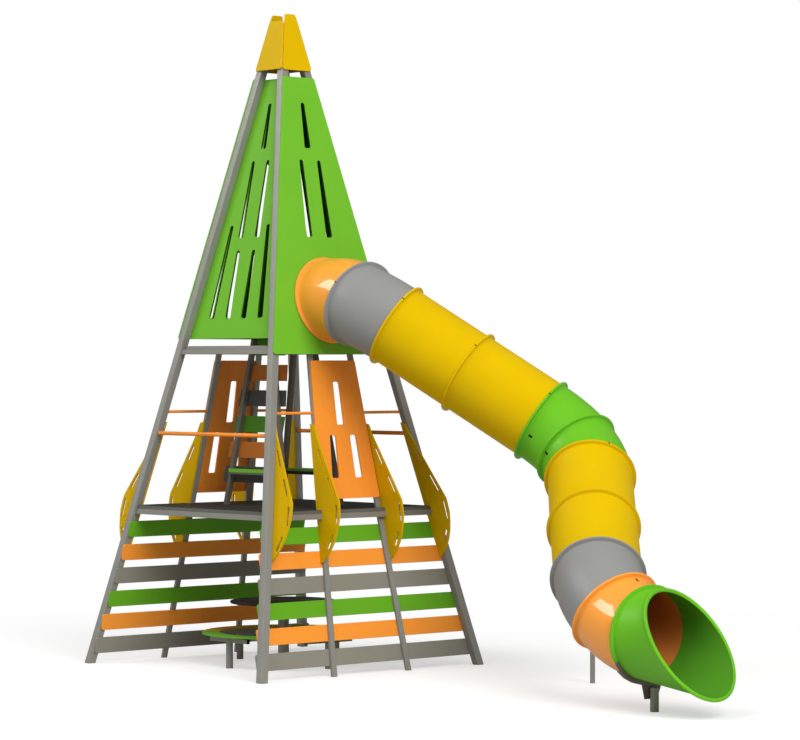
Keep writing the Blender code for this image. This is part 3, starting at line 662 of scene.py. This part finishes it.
GREEN_PAINTS = [green_board, green_painted_shade]
for side, inwards, slots in (
    ("front", (0, 1, 0), UPPER_SLOTS),
    ("rear", (0, -1, 0), ()),
    ("left", (1, 0, 0), UPPER_SLOTS + LOWER_SLOTS),
    ("right", (-1, 0, 0), ()),
):
    flat = 0 if inwards[1] else 1

    def painted_shade_part(face):
        """The back, and the walls of the slots, get the darker green that is painted shade."""
        centre = face.calc_center_median() - TOWER
        facing = face.normal.dot(Vector(inwards))
        return 1 if facing > 0.5 or (facing > -0.5 and in_slot(centre[flat], centre.z, slots)) else 0

    widen = reshape(slots, flat, top_share=0.66, foot_share=1.10, round_top=True)
    name = f"{side}_green_board"
    redraw(name, f"{side}_panel", "green_panel", GREEN_PAINTS, BOARD_EASE, painted_shade_part, move=widen)

# Cap
# Four small yellow boards that close the top of the tower.
yellow_board = finish("yellow_board", (216, 175, 0), BOARD_GRAIN, 0.34, 0.0003, wear=0.10, sheen=0.05)
for side in ("front", "rear", "left", "right"):
    redraw(f"cap_{side}_board", f"cap_{side}", "yellow_panel", [yellow_board], BOARD_EASE)

# Orange panels and bars
# A glossy orange board with three slots between the studs, front and rear, thin round bars across
# the narrow openings and thicker grab bars across the wide ones, each with a collar at its ends.
orange_board = finish("orange_board", (248, 150, 54), BOARD_GRAIN, 0.24, 0.0002, wear=0.12)
orange_coat = finish("orange_coat", (248, 148, 52), COAT_GRAIN, 0.34, 0.0003, wear=0.2)
ORANGE_SLOTS = (((0, 2.751), (0, 2.343), 0.080), ((0.126, 2.243), (0.146, 1.840), 0.080))
for side in ("front", "rear"):
    square = reshape(ORANGE_SLOTS, 0, top_share=0.95, foot_share=1.10, round_top=False)
    name = f"{side}_orange_board"
    redraw(name, f"{side}_orange_panel", "orange_panel", [orange_board], BOARD_EASE, move=square)


def turned(name, start, end, profile, sides, materials):
    """A body turned about the line from start to end: a profile of (way along, radius) in metres."""
    a = Vector(start)
    along = (Vector(end) - a).normalized()
    across = along.orthogonal().normalized()
    third = along.cross(across)
    turns = [math.tau * k / sides for k in range(sides)]
    outs = [across * math.cos(t) + third * math.sin(t) for t in turns]
    shape = bmesh.new()
    stack(shape, [[a + along * way + out * radius for out in outs] for way, radius in profile])
    obj = made(name, shape, materials)
    obj.data.shade_smooth()
    obj.data.set_sharp_from_angle(angle=math.radians(40))
    return obj


COLLAR_LONG = 0.018
THIN_BAR = (0.0140, 0.0008)
GRAB_BAR = (0.0195, 0.0010)


def bar_profile(length, radius, collar, collar_long):
    """A round bar with a slightly thicker collar at each end."""
    soft = 0.0015
    half = [(0, collar - soft), (soft, collar), (collar_long - soft, collar)]
    half += [(collar_long, collar - soft), (collar_long + soft, radius)]
    return half + [(length - way, r) for way, r in reversed(half)]


for key, (radius, extra) in (
    ("front_bar_a", THIN_BAR),
    ("front_bar_b", THIN_BAR),
    ("rear_bar_a", THIN_BAR),
    ("rear_bar_b", THIN_BAR),
    ("left_grab_bar", GRAB_BAR),
    ("right_grab_bar", GRAB_BAR),
):
    low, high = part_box(key)
    middle = (low + high) / 2
    long_x = high.x - low.x > high.y - low.y
    if long_x:
        start, end = (low.x, middle.y, middle.z), (high.x, middle.y, middle.z)
    else:
        start, end = (middle.x, low.y, middle.z), (middle.x, high.y, middle.z)
    length = (Vector(end) - Vector(start)).length
    profile = bar_profile(length, radius, radius + extra, COLLAR_LONG)
    keep(turned(f"{key}_rod", start, end, profile, 24, [orange_coat]), "orange_panel", key)

# Side wings
# Eight bulging yellow boards with four slanting slots each, beside the narrow openings.
# The wings' yellow is a little darker than the cap's: painted shade.
wing_yellow_painted_shade = finish("wing_yellow_painted_shade", (209, 168, 0), BOARD_GRAIN, 0.36, 0.0003, wear=0.10, sheen=0.05)
WING_EASE = 0.0015
for side in ("front", "rear"):
    for k in (1, 2, 3, 4):
        key = f"{side}_wing_{k}"
        redraw(f"{key}_board", key, "yellow_panel", [wing_yellow_painted_shade], WING_EASE)

# Climbing wall and inner frame
# Two pairs of leaning grey steel posts on the platform. The left pair carries six boards, dark
# grey, orange and green in turn, and a step; a wider step joins the right pair. The boards are
# coloured darker than the same colours elsewhere: painted shade inside the tower.
LADDER_POST = 0.040
POST_MORE = 0.004
LADDER_AT = 3.0
LADDER_HALF_X = 0.284
LADDER_HALF_Y = 0.187
LADDER_LEAN_X = 0.062
LADDER_LEAN_Y = 0.191
LADDER_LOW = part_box("climbing_wall")[0].z
CLIMB_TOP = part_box("climbing_wall")[1].z


def ladder_x(z):
    return LADDER_HALF_X + LADDER_LEAN_X * (LADDER_AT - z)


def ladder_y(z):
    return LADDER_HALF_Y + LADDER_LEAN_Y * (LADDER_AT - z)


def ladder_corners(z, sx, sy):
    """A square section of a leaning inner post, a little stouter than its drawn tube."""
    x = sx * (ladder_x(z) + POST_MORE)
    y = sy * (ladder_y(z) + POST_MORE)
    inner_x = x - sx * (LADDER_POST + 2 * POST_MORE)
    inner_y = y - sy * (LADDER_POST + 2 * POST_MORE)
    corners = ((x, y), (inner_x, y), (inner_x, inner_y), (x, inner_y))
    return [Vector((u, v + TOWER_Y, z)) for u, v in corners]


# A darker copy of the posts' grey: painted shade for the posts and the step frame inside the tower.
ladder_grey_painted_shade = finish("ladder_grey_painted_shade", (112, 108, 98), COAT_GRAIN, 0.42, 0.0004, wear=0.3, metal=0.25)
climb_posts = bmesh.new()
for sign in (-1, 1):
    strut(climb_posts, lambda z, sign=sign: ladder_corners(z, -1, sign), (LADDER_LOW, CLIMB_TOP))
keep(soften(made("climbing_posts", climb_posts, [ladder_grey_painted_shade]), 0.003), "post_grey", "climbing_wall")
# Darker copies of the slats' grey, orange and green: painted shade on the boards inside the tower.
climb_dark_painted_shade = finish("climb_dark_painted_shade", (74, 73, 68), BOARD_GRAIN, 0.40, 0.0003, wear=0.2)
climb_orange_painted_shade = finish("climb_orange_painted_shade", (182, 106, 40), BOARD_GRAIN, 0.40, 0.0003, wear=0.1)
climb_green_painted_shade = finish("climb_green_painted_shade", (72, 122, 30), BOARD_GRAIN, 0.40, 0.0003, wear=0.1)
CLIMB_ROWS = (1.770, 2.008, 2.259, 2.511, 2.757, 3.003)
CLIMB_HIGH = 0.157
CLIMB_THICK = 0.0178
CLIMB_GAP = 0.0002
CLIMB_IN = 0.010
CLIMB_REAR = 0.283
CLIMB_REAR_LEAN = 0.247
CLIMB_REAR_AT = 2.840
CLIMB_FRONT = 0.305
CLIMB_FRONT_LONG = 0.346
LONG_FROM = 2.4
LONG_TO = 2.95


def board_corners(z):
    """A level section of a climbing board; the fourth and fifth reach further forward."""
    reach = CLIMB_FRONT_LONG if LONG_FROM < z < LONG_TO else CLIMB_FRONT
    front = -max(reach, ladder_y(z) - CLIMB_IN)
    rear = CLIMB_REAR + CLIMB_REAR_LEAN * (CLIMB_REAR_AT - z)
    near = LADDER_POST + CLIMB_GAP - ladder_x(z)
    far = near + CLIMB_THICK
    corners = ((near, front), (far, front), (far, rear), (near, rear))
    return [Vector((u, v + TOWER_Y, z)) for u, v in corners]


climb_boards = bmesh.new()
for row, low in enumerate(CLIMB_ROWS):
    before = set(climb_boards.faces)
    strut(climb_boards, board_corners, (low, low + CLIMB_HIGH))
    for face in set(climb_boards.faces) - before:
        face.material_index = row % 3
climb_board_set = made("climbing_boards", climb_boards, [climb_dark_painted_shade, climb_orange_painted_shade, climb_green_painted_shade])
keep(soften(climb_board_set, 0.003), "post_grey", "climbing_wall")


CLIMB_STEP_SPLIT = 1.870


def climb_step_part(face):
    return 0 if face.calc_center_median().z > CLIMB_STEP_SPLIT else 1


redraw(
    "climbing_step_board",
    "climbing_step",
    "green_panel",
    [green_board, ladder_grey_painted_shade],
    BOARD_EASE,
    climb_step_part,
    CLIMB_STEP_SPLIT,
)

# The black on the frame under the wider step's green top is painted shade.
step_black_painted_shade = finish("step_black_painted_shade", (50, 49, 47), COAT_GRAIN, 0.45, 0.0004, wear=0.25, metal=0.2)
STEP_LOW = 1.834
STEP_SPLIT = 1.866
STEP_GAP = 0.0002
STEP_TOP = 1.891
STEP_HALF = 0.390
STEP_IN = 0.025
STEP_OUT = 0.160
INNER_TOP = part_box("inner_frame")[1].z
inner_posts = bmesh.new()
for sign in (-1, 1):
    strut(inner_posts, lambda z, sign=sign: ladder_corners(z, 1, sign), (LADDER_LOW, INNER_TOP))
keep(soften(made("inner_frame_posts", inner_posts, [ladder_grey_painted_shade]), 0.003), "post_grey", "inner_frame")


def step_corners(z):
    near = ladder_x(z) - STEP_IN
    far = ladder_x(z) + STEP_OUT
    corners = ((near, -STEP_HALF), (far, -STEP_HALF), (far, STEP_HALF), (near, STEP_HALF))
    return [Vector((u, v + TOWER_Y, z)) for u, v in corners]


inner_step = bmesh.new()
strut(inner_step, step_corners, (STEP_LOW, STEP_SPLIT))
for face in inner_step.faces:
    face.material_index = 1
strut(inner_step, step_corners, (STEP_SPLIT + STEP_GAP, STEP_TOP))
inner_step_board = made("inner_frame_step", inner_step, [green_board, step_black_painted_shade])
keep(soften(inner_step_board, BOARD_EASE), "post_grey", "inner_frame")

# Screw caps
# Low round caps in the boards' own colours, over the screws that hold the slats, the green and the
# orange panels and the climbing boards to their posts and studs.
CAP_R = 0.0075
CAP_HIGH = 0.0035
CAP_TOP_SHARE = 0.72
CAP_FROM_EDGE = 0.040
cap_tree, cap_in, cap_out = geometry_tree(
    "screw_caps",
    (("Places", "Geometry"), ("Radius", "Float"), ("Height", "Float"), ("Colour", "Material")),
)
cap_way = node(cap_tree, "GeometryNodeInputNamedAttribute", {"Name": "way"}, data_type="FLOAT_VECTOR")
cap_turn = node(cap_tree, "FunctionNodeAlignRotationToVector", {"Vector": cap_way.outputs[0]}, axis="Z")
cap_flat = maths(cap_tree, "MULTIPLY", cap_in["Radius"], CAP_TOP_SHARE)
cap_sizes = {"Radius Top": cap_flat, "Radius Bottom": cap_in["Radius"], "Depth": cap_in["Height"]}
cap_shape = node(cap_tree, "GeometryNodeMeshCone", {"Vertices": 12} | cap_sizes)
cap_copies = node(
    cap_tree,
    "GeometryNodeInstanceOnPoints",
    {"Points": cap_in["Places"], "Instance": cap_shape.outputs[0], "Rotation": cap_turn.outputs[0]},
)
cap_real = node(cap_tree, "GeometryNodeRealizeInstances", {0: cap_copies.outputs[0]})
cap_done = node(
    cap_tree, "GeometryNodeSetMaterial", {"Geometry": cap_real.outputs[0], "Material": cap_in["Colour"]}
)
cap_tree.links.new(cap_done.outputs[0], cap_out[0])


def screw_caps(name, places, colour, slot):
    """Caps of one colour, at places that are each a point and the way the cap faces."""
    mesh = bpy.data.meshes.new(name)
    mesh.from_pydata([tuple(point) for point, way in places], [], [])
    ways = mesh.attributes.new("way", "FLOAT_VECTOR", "POINT")
    ways.data.foreach_set("vector", [c for point, way in places for c in way])
    values = {"Radius": CAP_R, "Height": CAP_HIGH, "Colour": colour}
    caps = plain(from_tree(name, cap_tree, values, mesh))
    if "way" in caps.data.attributes:
        caps.data.attributes.remove(caps.data.attributes["way"])
    keep(caps, slot)


def wall_places(side, s, depth, z, inwards):
    """Two places on a leaning wall, s to either side of its middle and depth inside the outer plane of
    the posts, each with the way out of it."""
    flip = 1 if side in ("front", "left") else -1
    places = []
    for reach in (-s, s):
        if side in ("front", "rear"):
            point = Vector((flip * reach, flip * (depth - half_y(z)), z))
            way = Vector((0, flip, -BASE_Y / APEX_Y)).normalized()
        else:
            point = Vector((flip * (depth - half_x(z)), -flip * reach, z))
            way = Vector((flip, 0, -BASE_X / APEX_X)).normalized()
        places.append((point + TOWER, way if inwards else -way))
    return places


SLAT_BACK = 0.0990
PANEL_OUT = -0.0183
ORANGE_OUT = 0.0315
CLIMB_FACE = 0.0172
PANEL_CAP_ROWS = (3.22, 3.85, 4.50, 5.15, 5.62)
ORANGE_CAP_ROWS = (1.72, 2.30, 2.88)
SLAT_COLOURS = (("grey", slat_grey), ("orange", slat_orange), ("green", slat_green))
for side in ("front", "rear"):
    for remainder, (colour_name, colour) in enumerate(SLAT_COLOURS):
        places = []
        for row in range(remainder, SLAT_ROWS, 3):
            z = SLAT_LOW + row * SLAT_PITCH + SLAT_HIGH / 2
            for s in (half_x(z) - CAP_FROM_EDGE, half_x(z) / 3):
                places += wall_places(side, s, SLAT_BACK, z, True)
        screw_caps(f"{side}_{colour_name}_slat_caps", places, colour, "slat_grey")
    places = []
    for z in PANEL_CAP_ROWS:
        places += wall_places(side, half_x(z) - CAP_FROM_EDGE, PANEL_OUT, z, False)
    screw_caps(f"{side}_panel_caps", places, green_board, "green_panel")
    places = []
    for z in ORANGE_CAP_ROWS:
        places += wall_places(side, half_x(z) / 3, ORANGE_OUT, z, False)
    screw_caps(f"{side}_orange_caps", places, orange_board, "orange_panel")
for side in ("left", "right"):
    places = []
    for z in PANEL_CAP_ROWS:
        places += wall_places(side, half_y(z) - CAP_FROM_EDGE, SLAT_BACK, z, True)
    screw_caps(f"{side}_panel_caps", places, green_board, "green_panel")
for remainder, colour in enumerate((climb_dark_painted_shade, climb_orange_painted_shade, climb_green_painted_shade)):
    places = []
    for low in CLIMB_ROWS[remainder::3]:
        z = low + CLIMB_HIGH / 2
        x = LADDER_POST + CLIMB_FACE - ladder_x(z)
        for sign in (-1, 1):
            y = sign * (ladder_y(z) - LADDER_POST / 2) + TOWER_Y
            places.append((Vector((x, y, z)), Vector((1, 0, 0))))
    screw_caps(f"climbing_caps_{remainder + 1}", places, colour, "post_grey")

# Table
# A round slate-coloured board with an eased rim on a round grey steel post.
table_board = finish("table_board", (44, 42, 42), BOARD_GRAIN, 0.40, 0.0003, wear=0.2, dust=0.1)
table_low, table_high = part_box("table_top")
TABLE_R = (table_high.x - table_low.x) / 2
TABLE_THICK = table_high.z - table_low.z
TABLE_POST_R = 0.0535
TABLE_EASE = 0.006
RIM_CORNER = 0.002
table_rim = [(0, TABLE_R - TABLE_EASE), (RIM_CORNER, TABLE_R - RIM_CORNER), (TABLE_EASE, TABLE_R)]
table_rim += [(TABLE_THICK - way, radius) for way, radius in reversed(table_rim)]
table_start = (0, TOWER_Y, table_low.z)
table_end = (0, TOWER_Y, table_high.z)
table = turned("table_board", table_start, table_end, table_rim, 72, [table_board])
keep(table, "steel_dark", "table_top")
foot_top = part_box("table_post")[1].z
foot_profile = [(0, TABLE_POST_R), (foot_top, TABLE_POST_R)]
table_foot = turned(
    "table_foot", (0, TOWER_Y, 0), (0, TOWER_Y, foot_top), foot_profile, 36, [post_coat]
)
keep(table_foot, "post_grey", "table_post")

# Ring bench
# Four quarter-ring boards, green left and right and yellow front and rear, on a flat steel ring
# with four round legs and a straight bar across each leg.
seat_green = finish("seat_green", (104, 172, 44), BOARD_GRAIN, 0.42, 0.0003, wear=0.2, dust=0.2)
seat_yellow = finish("seat_yellow", (206, 160, 2), BOARD_GRAIN, 0.42, 0.0003, wear=0.2, dust=0.2)
for side, colour, slot in (
    ("left", seat_green, "green_panel"),
    ("right", seat_green, "green_panel"),
    ("front", seat_yellow, "yellow_panel"),
    ("rear", seat_yellow, "yellow_panel"),
):
    redraw(f"seat_{side}_board", f"seat_{side}", slot, [colour], BOARD_EASE)
redraw("bench_frame_steel", "bench_frame", "post_grey", [post_coat], 0.0015)
BENCH_RING_R = 0.674
BAR_HALF = 0.0166
END_IN = 0.283
END_OUT = 0.2865
END_LOW = 0.2495
END_HIGH = 0.2903
bar_ends = bmesh.new()
for quarter in range(4):
    t = math.tau * quarter / 4
    out = Vector((math.cos(t), math.sin(t), 0))
    side = Vector((-out.y, out.x, 0))
    for sign in (-1, 1):
        middle = out * BENCH_RING_R + TOWER

        def end_corners(z, middle=middle, out=out, side=side, sign=sign):
            steps = ((-BAR_HALF, END_IN), (BAR_HALF, END_IN), (BAR_HALF, END_OUT), (-BAR_HALF, END_OUT))
            return [middle + out * a + side * sign * b + Vector((0, 0, z)) for a, b in steps]

        strut(bar_ends, end_corners, (END_LOW, END_HIGH))
end_black = finish("end_black", (16, 16, 16), COAT_GRAIN, 0.6, 0.0002, wear=0.0)
keep(soften(made("bench_bar_ends", bar_ends, [end_black]), 0.0006), "steel_dark")

# Tube slide
# Ten moulded plastic sections about 0.77 m across: an orange collar, then grey, yellow, green,
# yellow, grey and orange ones. Each has one rounded ridge at its upper end, where it is bolted.
TUBE_R = 0.387
TUBE_IN = 0.376
RIDGE_R = 0.4206
RIDGE_START = -0.012
TUBE_SIDES = 72
TUBE_GAP = 0.0003
PANEL_THICK = 0.019
MOUTH_Z = 3.529
PANEL_FACE = -half_y(MOUTH_Z) - PANEL_THICK
JOINTS = (
    ((0.000, PANEL_FACE - TUBE_GAP, MOUTH_Z), 0.0, -math.degrees(LEAN_Y)),
    ((-0.010, -1.135, 3.492), 0.0, 20.0),
    ((0.096, -1.544, 3.284), 31.0, 32.4),
    ((0.452, -2.149, 2.842), 30.5, 32.3),
    ((0.808, -2.757, 2.398), 30.5, 32.4),
    ((0.898, -3.121, 2.131), -3.0, 38.0),
    ((0.756, -3.446, 1.878), -42.5, 31.0),
    ((0.275, -3.967, 1.459), -42.4, 29.0),
    ((-0.196, -4.487, 1.073), -42.3, 29.0),
    ((-0.365, -4.852, 0.817), -7.0, 36.0),
    ((-0.422, -5.306, 0.652), -7.0, 4.0),
)
tube_paints = {}
# Each colour has a darker copy for the inside of the tube: painted shade. The inside is also a little
# rougher.
for slot, seen, inside, rough, bump, more in (
    ("tube_grey", (142, 142, 140), (108, 108, 106), 0.36, 0.006, {}),
    ("tube_yellow", (216, 178, 0), (170, 136, 0), 0.36, 0.006, {"sheen": 0.05}),
    ("tube_green", (104, 184, 36), (76, 138, 34), 0.36, 0.006, {}),
    ("tube_orange", (255, 162, 60), (204, 122, 56), 0.34, 0.002, {"coat": 0.55}),
):
    skin = finish(slot, seen, MOULD_SKIN, rough, bump, wear=0.05, **more)
    inner_name = slot.replace("tube_", "") + "_inside"
    painted_shade_skin = finish(inner_name, inside, MOULD_SKIN, 0.5, 0.006, wear=0.0, sheen=0.05)
    tube_paints[slot] = [skin, painted_shade_skin]
BEND_STEPS = 8
SECTIONS = (
    ("slide_collar", "tube_orange", BEND_STEPS),
    ("slide_grey_bend_top", "tube_grey", BEND_STEPS),
    ("slide_yellow_1", "tube_yellow", 1),
    ("slide_yellow_2", "tube_yellow", 1),
    ("slide_green_bend_1", "tube_green", BEND_STEPS),
    ("slide_green_bend_2", "tube_green", BEND_STEPS),
    ("slide_yellow_3", "tube_yellow", 1),
    ("slide_yellow_4", "tube_yellow", 1),
    ("slide_grey_bend_low", "tube_grey", BEND_STEPS),
    ("slide_orange_bend", "tube_orange", BEND_STEPS),
)
RIDGE = (
    (0.0000, RIDGE_R - 0.0090),
    (0.0026, RIDGE_R - 0.0026),
    (0.0090, RIDGE_R),
    (0.0150, RIDGE_R),
    (0.0214, RIDGE_R - 0.0026),
    (0.0240, RIDGE_R - 0.0090),
    (0.0240, TUBE_R + 0.0050),
    (0.0255, TUBE_R + 0.0015),
    (0.0290, TUBE_R),
)


def way_of(heading, slope):
    """The way a slide section runs, from its heading and its slope in degrees."""
    h = math.radians(heading)
    s = math.radians(slope)
    return Vector((math.sin(h) * math.cos(s), -math.cos(h) * math.cos(s), -math.sin(s)))


def axes_of(heading, slope):
    """The two ways square to it: level, and up out of it."""
    h = math.radians(heading)
    across = Vector((math.cos(h), math.sin(h), 0))
    return across, way_of(heading, slope).cross(across)


def tube_ring(joint, ahead, radius):
    """A ring of points square to the slide, ahead metres past a joint."""
    centre, heading, slope = joint
    across, up = axes_of(heading, slope)
    middle = Vector(centre) + way_of(heading, slope) * ahead + TOWER
    ring = []
    for k in range(TUBE_SIDES):
        t = math.tau * (k + 0.5) / TUBE_SIDES
        ring.append(middle + (across * math.sin(t) + up * math.cos(t)) * radius)
    return ring


def between(first, second, t):
    """The centre, heading and slope at t of the way between two joints."""
    a = Vector(first[0])
    b = Vector(second[0])
    reach = (b - a).length
    da = way_of(first[1], first[2]) * reach
    db = way_of(second[1], second[2]) * reach
    t2 = t * t
    t3 = t2 * t
    centre = a * (2 * t3 - 3 * t2 + 1) + da * (t3 - 2 * t2 + t) + b * (3 * t2 - 2 * t3) + db * (t3 - t2)
    return centre, first[1] + (second[1] - first[1]) * t, first[2] + (second[2] - first[2]) * t


def shell(name, rings, materials, inside_from):
    """A closed wall through a cycle of rings; from that ring on it is the inside, in the darker copy of
    the colour that is painted shade.
    """
    shape = bmesh.new()
    loops = [[shape.verts.new(p) for p in ring] for ring in rings]
    for at, (first, second) in enumerate(zip(loops, loops[1:] + loops[:1])):
        for i in range(len(first)):
            j = (i + 1) % len(first)
            face = shape.faces.new((first[i], first[j], second[j], second[i]))
            face.material_index = 1 if inside_from <= at < len(loops) - 1 else 0
    obj = made(name, shape, materials)
    obj.data.shade_smooth()
    obj.data.set_sharp_from_angle(angle=math.radians(38))
    return obj


for (key, slot, steps), first, second in zip(SECTIONS, JOINTS, JOINTS[1:]):
    start = 0 if key == "slide_collar" else RIDGE_START
    end = RIDGE_START - TUBE_GAP
    middle_joints = [between(first, second, k / steps) for k in range(1, steps)]
    rings = [tube_ring(first, start + ahead, radius) for ahead, radius in RIDGE]
    rings += [tube_ring(joint, 0, TUBE_R) for joint in middle_joints]
    rings += [tube_ring(second, end, TUBE_R)]
    inside_from = len(rings)
    rings += [tube_ring(second, end, TUBE_IN)]
    rings += [tube_ring(joint, 0, TUBE_IN) for joint in reversed(middle_joints)]
    rings += [tube_ring(first, start, TUBE_IN)]
    keep(shell(f"{key}_skin", rings, tube_paints[slot], inside_from), slot, key)

# Slide slots and ridge marks
# Three short slots for a strap in the walls of the bends, and a small notch at the top of five
# ridges, where two sections are keyed together. Neither is cut: each is a thin inlay in the skin,
# black in the slots and dark in the notches, painted as the shade inside them.
# Black for the slots and dark yellow-brown for the notches: painted shade in them.
strap_slot_painted_shade = finish("strap_slot_painted_shade", (12, 12, 12), COAT_GRAIN, 0.6, 0.0002, wear=0.0)
notch_painted_shade = finish("notch_painted_shade", (92, 74, 20), COAT_GRAIN, 0.6, 0.0002, wear=0.0)
STRAP_SLOTS = (
    ((0.479, -2.929, 2.271), (0.492, -2.965, 2.251), (-0.950, -0.250, -0.180)),
    ((0.512, -3.115, 2.122), (0.502, -3.153, 2.097), (-0.976, 0.182, 0.114)),
    ((-0.382, -5.112, 1.107), (-0.387, -5.152, 1.086), (-0.055, -0.450, 0.891)),
)
STRAP_SLOT_WIDE = 0.020
STRAP_SLOT_UNDER = 0.003
NOTCHES = ((1, -59.4), (2, -45.7), (3, -44.7), (4, -44.3), (6, 22.7))
NOTCH_WIDE = 0.012
NOTCH_FROM = 0.001
NOTCH_TO = 0.023
NOTCH_UNDER = 0.004
INLAY_OVER = 0.0015


def inlay(shape, start, end, out, wide, under, over):
    """Adds a thin box along start to end that reaches under and over the surface there."""
    a = Vector(start)
    b = Vector(end)
    up = Vector(out).normalized()
    side = (b - a).cross(up).normalized() * wide / 2
    corners = (a - side, b - side, b + side, a + side)
    stack(shape, [[p - up * under for p in corners], [p + up * over for p in corners]])


straps = bmesh.new()
for start, end, out in STRAP_SLOTS:
    a = Vector(start) + TOWER
    b = Vector(end) + TOWER
    inlay(straps, a, b, out, STRAP_SLOT_WIDE, STRAP_SLOT_UNDER, INLAY_OVER)
keep(soften(made("slide_strap_slots", straps, [strap_slot_painted_shade]), 0.0006), "steel_dark")
notches = bmesh.new()
for index, turn in NOTCHES:
    centre, heading, slope = JOINTS[index]
    across, up = axes_of(heading, slope)
    out = across * math.sin(math.radians(turn)) + up * math.cos(math.radians(turn))
    way = way_of(heading, slope)
    rim = Vector(centre) + TOWER + out * RIDGE_R + way * RIDGE_START
    a = rim + way * NOTCH_FROM
    b = rim + way * NOTCH_TO
    inlay(notches, a, b, out, NOTCH_WIDE, NOTCH_UNDER, INLAY_OVER)
keep(soften(made("slide_ridge_notches", notches, [notch_painted_shade]), 0.0006), "steel_dark")

# Slide exit
# A green moulded scoop, cut off aslant, short on top and long below, with a thick rolled lip.
EXIT_HEADING = -3.23
EXIT_SLOPE = 5.28
EXIT_MEAN = 0.505
EXIT_TILT = 0.361
EXIT_FLARE = 0.021
LIP = 0.033
LIP_LONG = 0.030
LIP_ROUND = 0.009
ROUND_SHARE = 0.29
LIP_FILLET = 0.006
FILLET_CORNER = 0.0015
LAST_JOINT = JOINTS[-1]


def exit_ring(back, extra):
    """A slanted ring, back metres behind the rim and extra metres outside the inner wall."""
    across, up = axes_of(EXIT_HEADING, EXIT_SLOPE)
    way = way_of(EXIT_HEADING, EXIT_SLOPE)
    base = Vector(LAST_JOINT[0]) + TOWER
    ring = []
    for k in range(TUBE_SIDES):
        t = math.tau * (k + 0.5) / TUBE_SIDES
        reach = EXIT_MEAN - EXIT_TILT * math.cos(t) - back
        radius = TUBE_IN + EXIT_FLARE * reach + extra
        ring.append(base + way * reach + (across * math.sin(t) + up * math.cos(t)) * radius)
    return ring


rings = [tube_ring(LAST_JOINT, RIDGE_START + ahead, radius) for ahead, radius in RIDGE]
wall = TUBE_R - TUBE_IN
part = LIP_ROUND * ROUND_SHARE
for back, extra in (
    (LIP_LONG + LIP_FILLET, wall),
    (LIP_LONG + FILLET_CORNER, wall + FILLET_CORNER),
    (LIP_LONG, wall + LIP_FILLET),
    (LIP_LONG, LIP - LIP_ROUND),
    (LIP_LONG - part, LIP - part),
    (LIP_LONG - LIP_ROUND, LIP),
    (LIP_ROUND, LIP),
    (part, LIP - part),
    (0, LIP - LIP_ROUND),
    (0, LIP_ROUND),
    (part, part),
    (LIP_ROUND, 0),
):
    rings.append(exit_ring(back, extra))
# From here on the wall is the inside, in the darker green of painted shade.
inside_from = len(rings) - 1
rings.append(tube_ring(LAST_JOINT, RIDGE_START, TUBE_IN))
exit_skin = shell("slide_exit_skin", rings, tube_paints["tube_green"], inside_from)
keep(exit_skin, "tube_green", "slide_exit")

# Slide legs and saddle
# Two round steel legs. The exit leg is welded to a black plate that clasps the last ridge.
LEG_EASE = 0.002
for key, sides in (("slide_leg_middle", 28), ("slide_leg_exit", 36)):
    low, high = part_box(key)
    middle = (low + high) / 2
    radius = (high.x - low.x) / 2
    height = high.z - low.z
    leg = turned(
        f"{key}_tube",
        (middle.x, middle.y, 0),
        (middle.x, middle.y, high.z),
        [(0, radius), (height - LEG_EASE, radius), (height, radius - LEG_EASE)],
        sides,
        [post_coat],
    )
    keep(leg, "post_grey", key)
saddle_steel = finish(
    "saddle_steel", (124, 112, 104), COAT_GRAIN, 0.45, 0.0004, wear=0.3, dust=0.2, metal=0.2
)
redraw("slide_saddle_plate", "slide_saddle", "steel_dark", [saddle_steel], 0.0015)
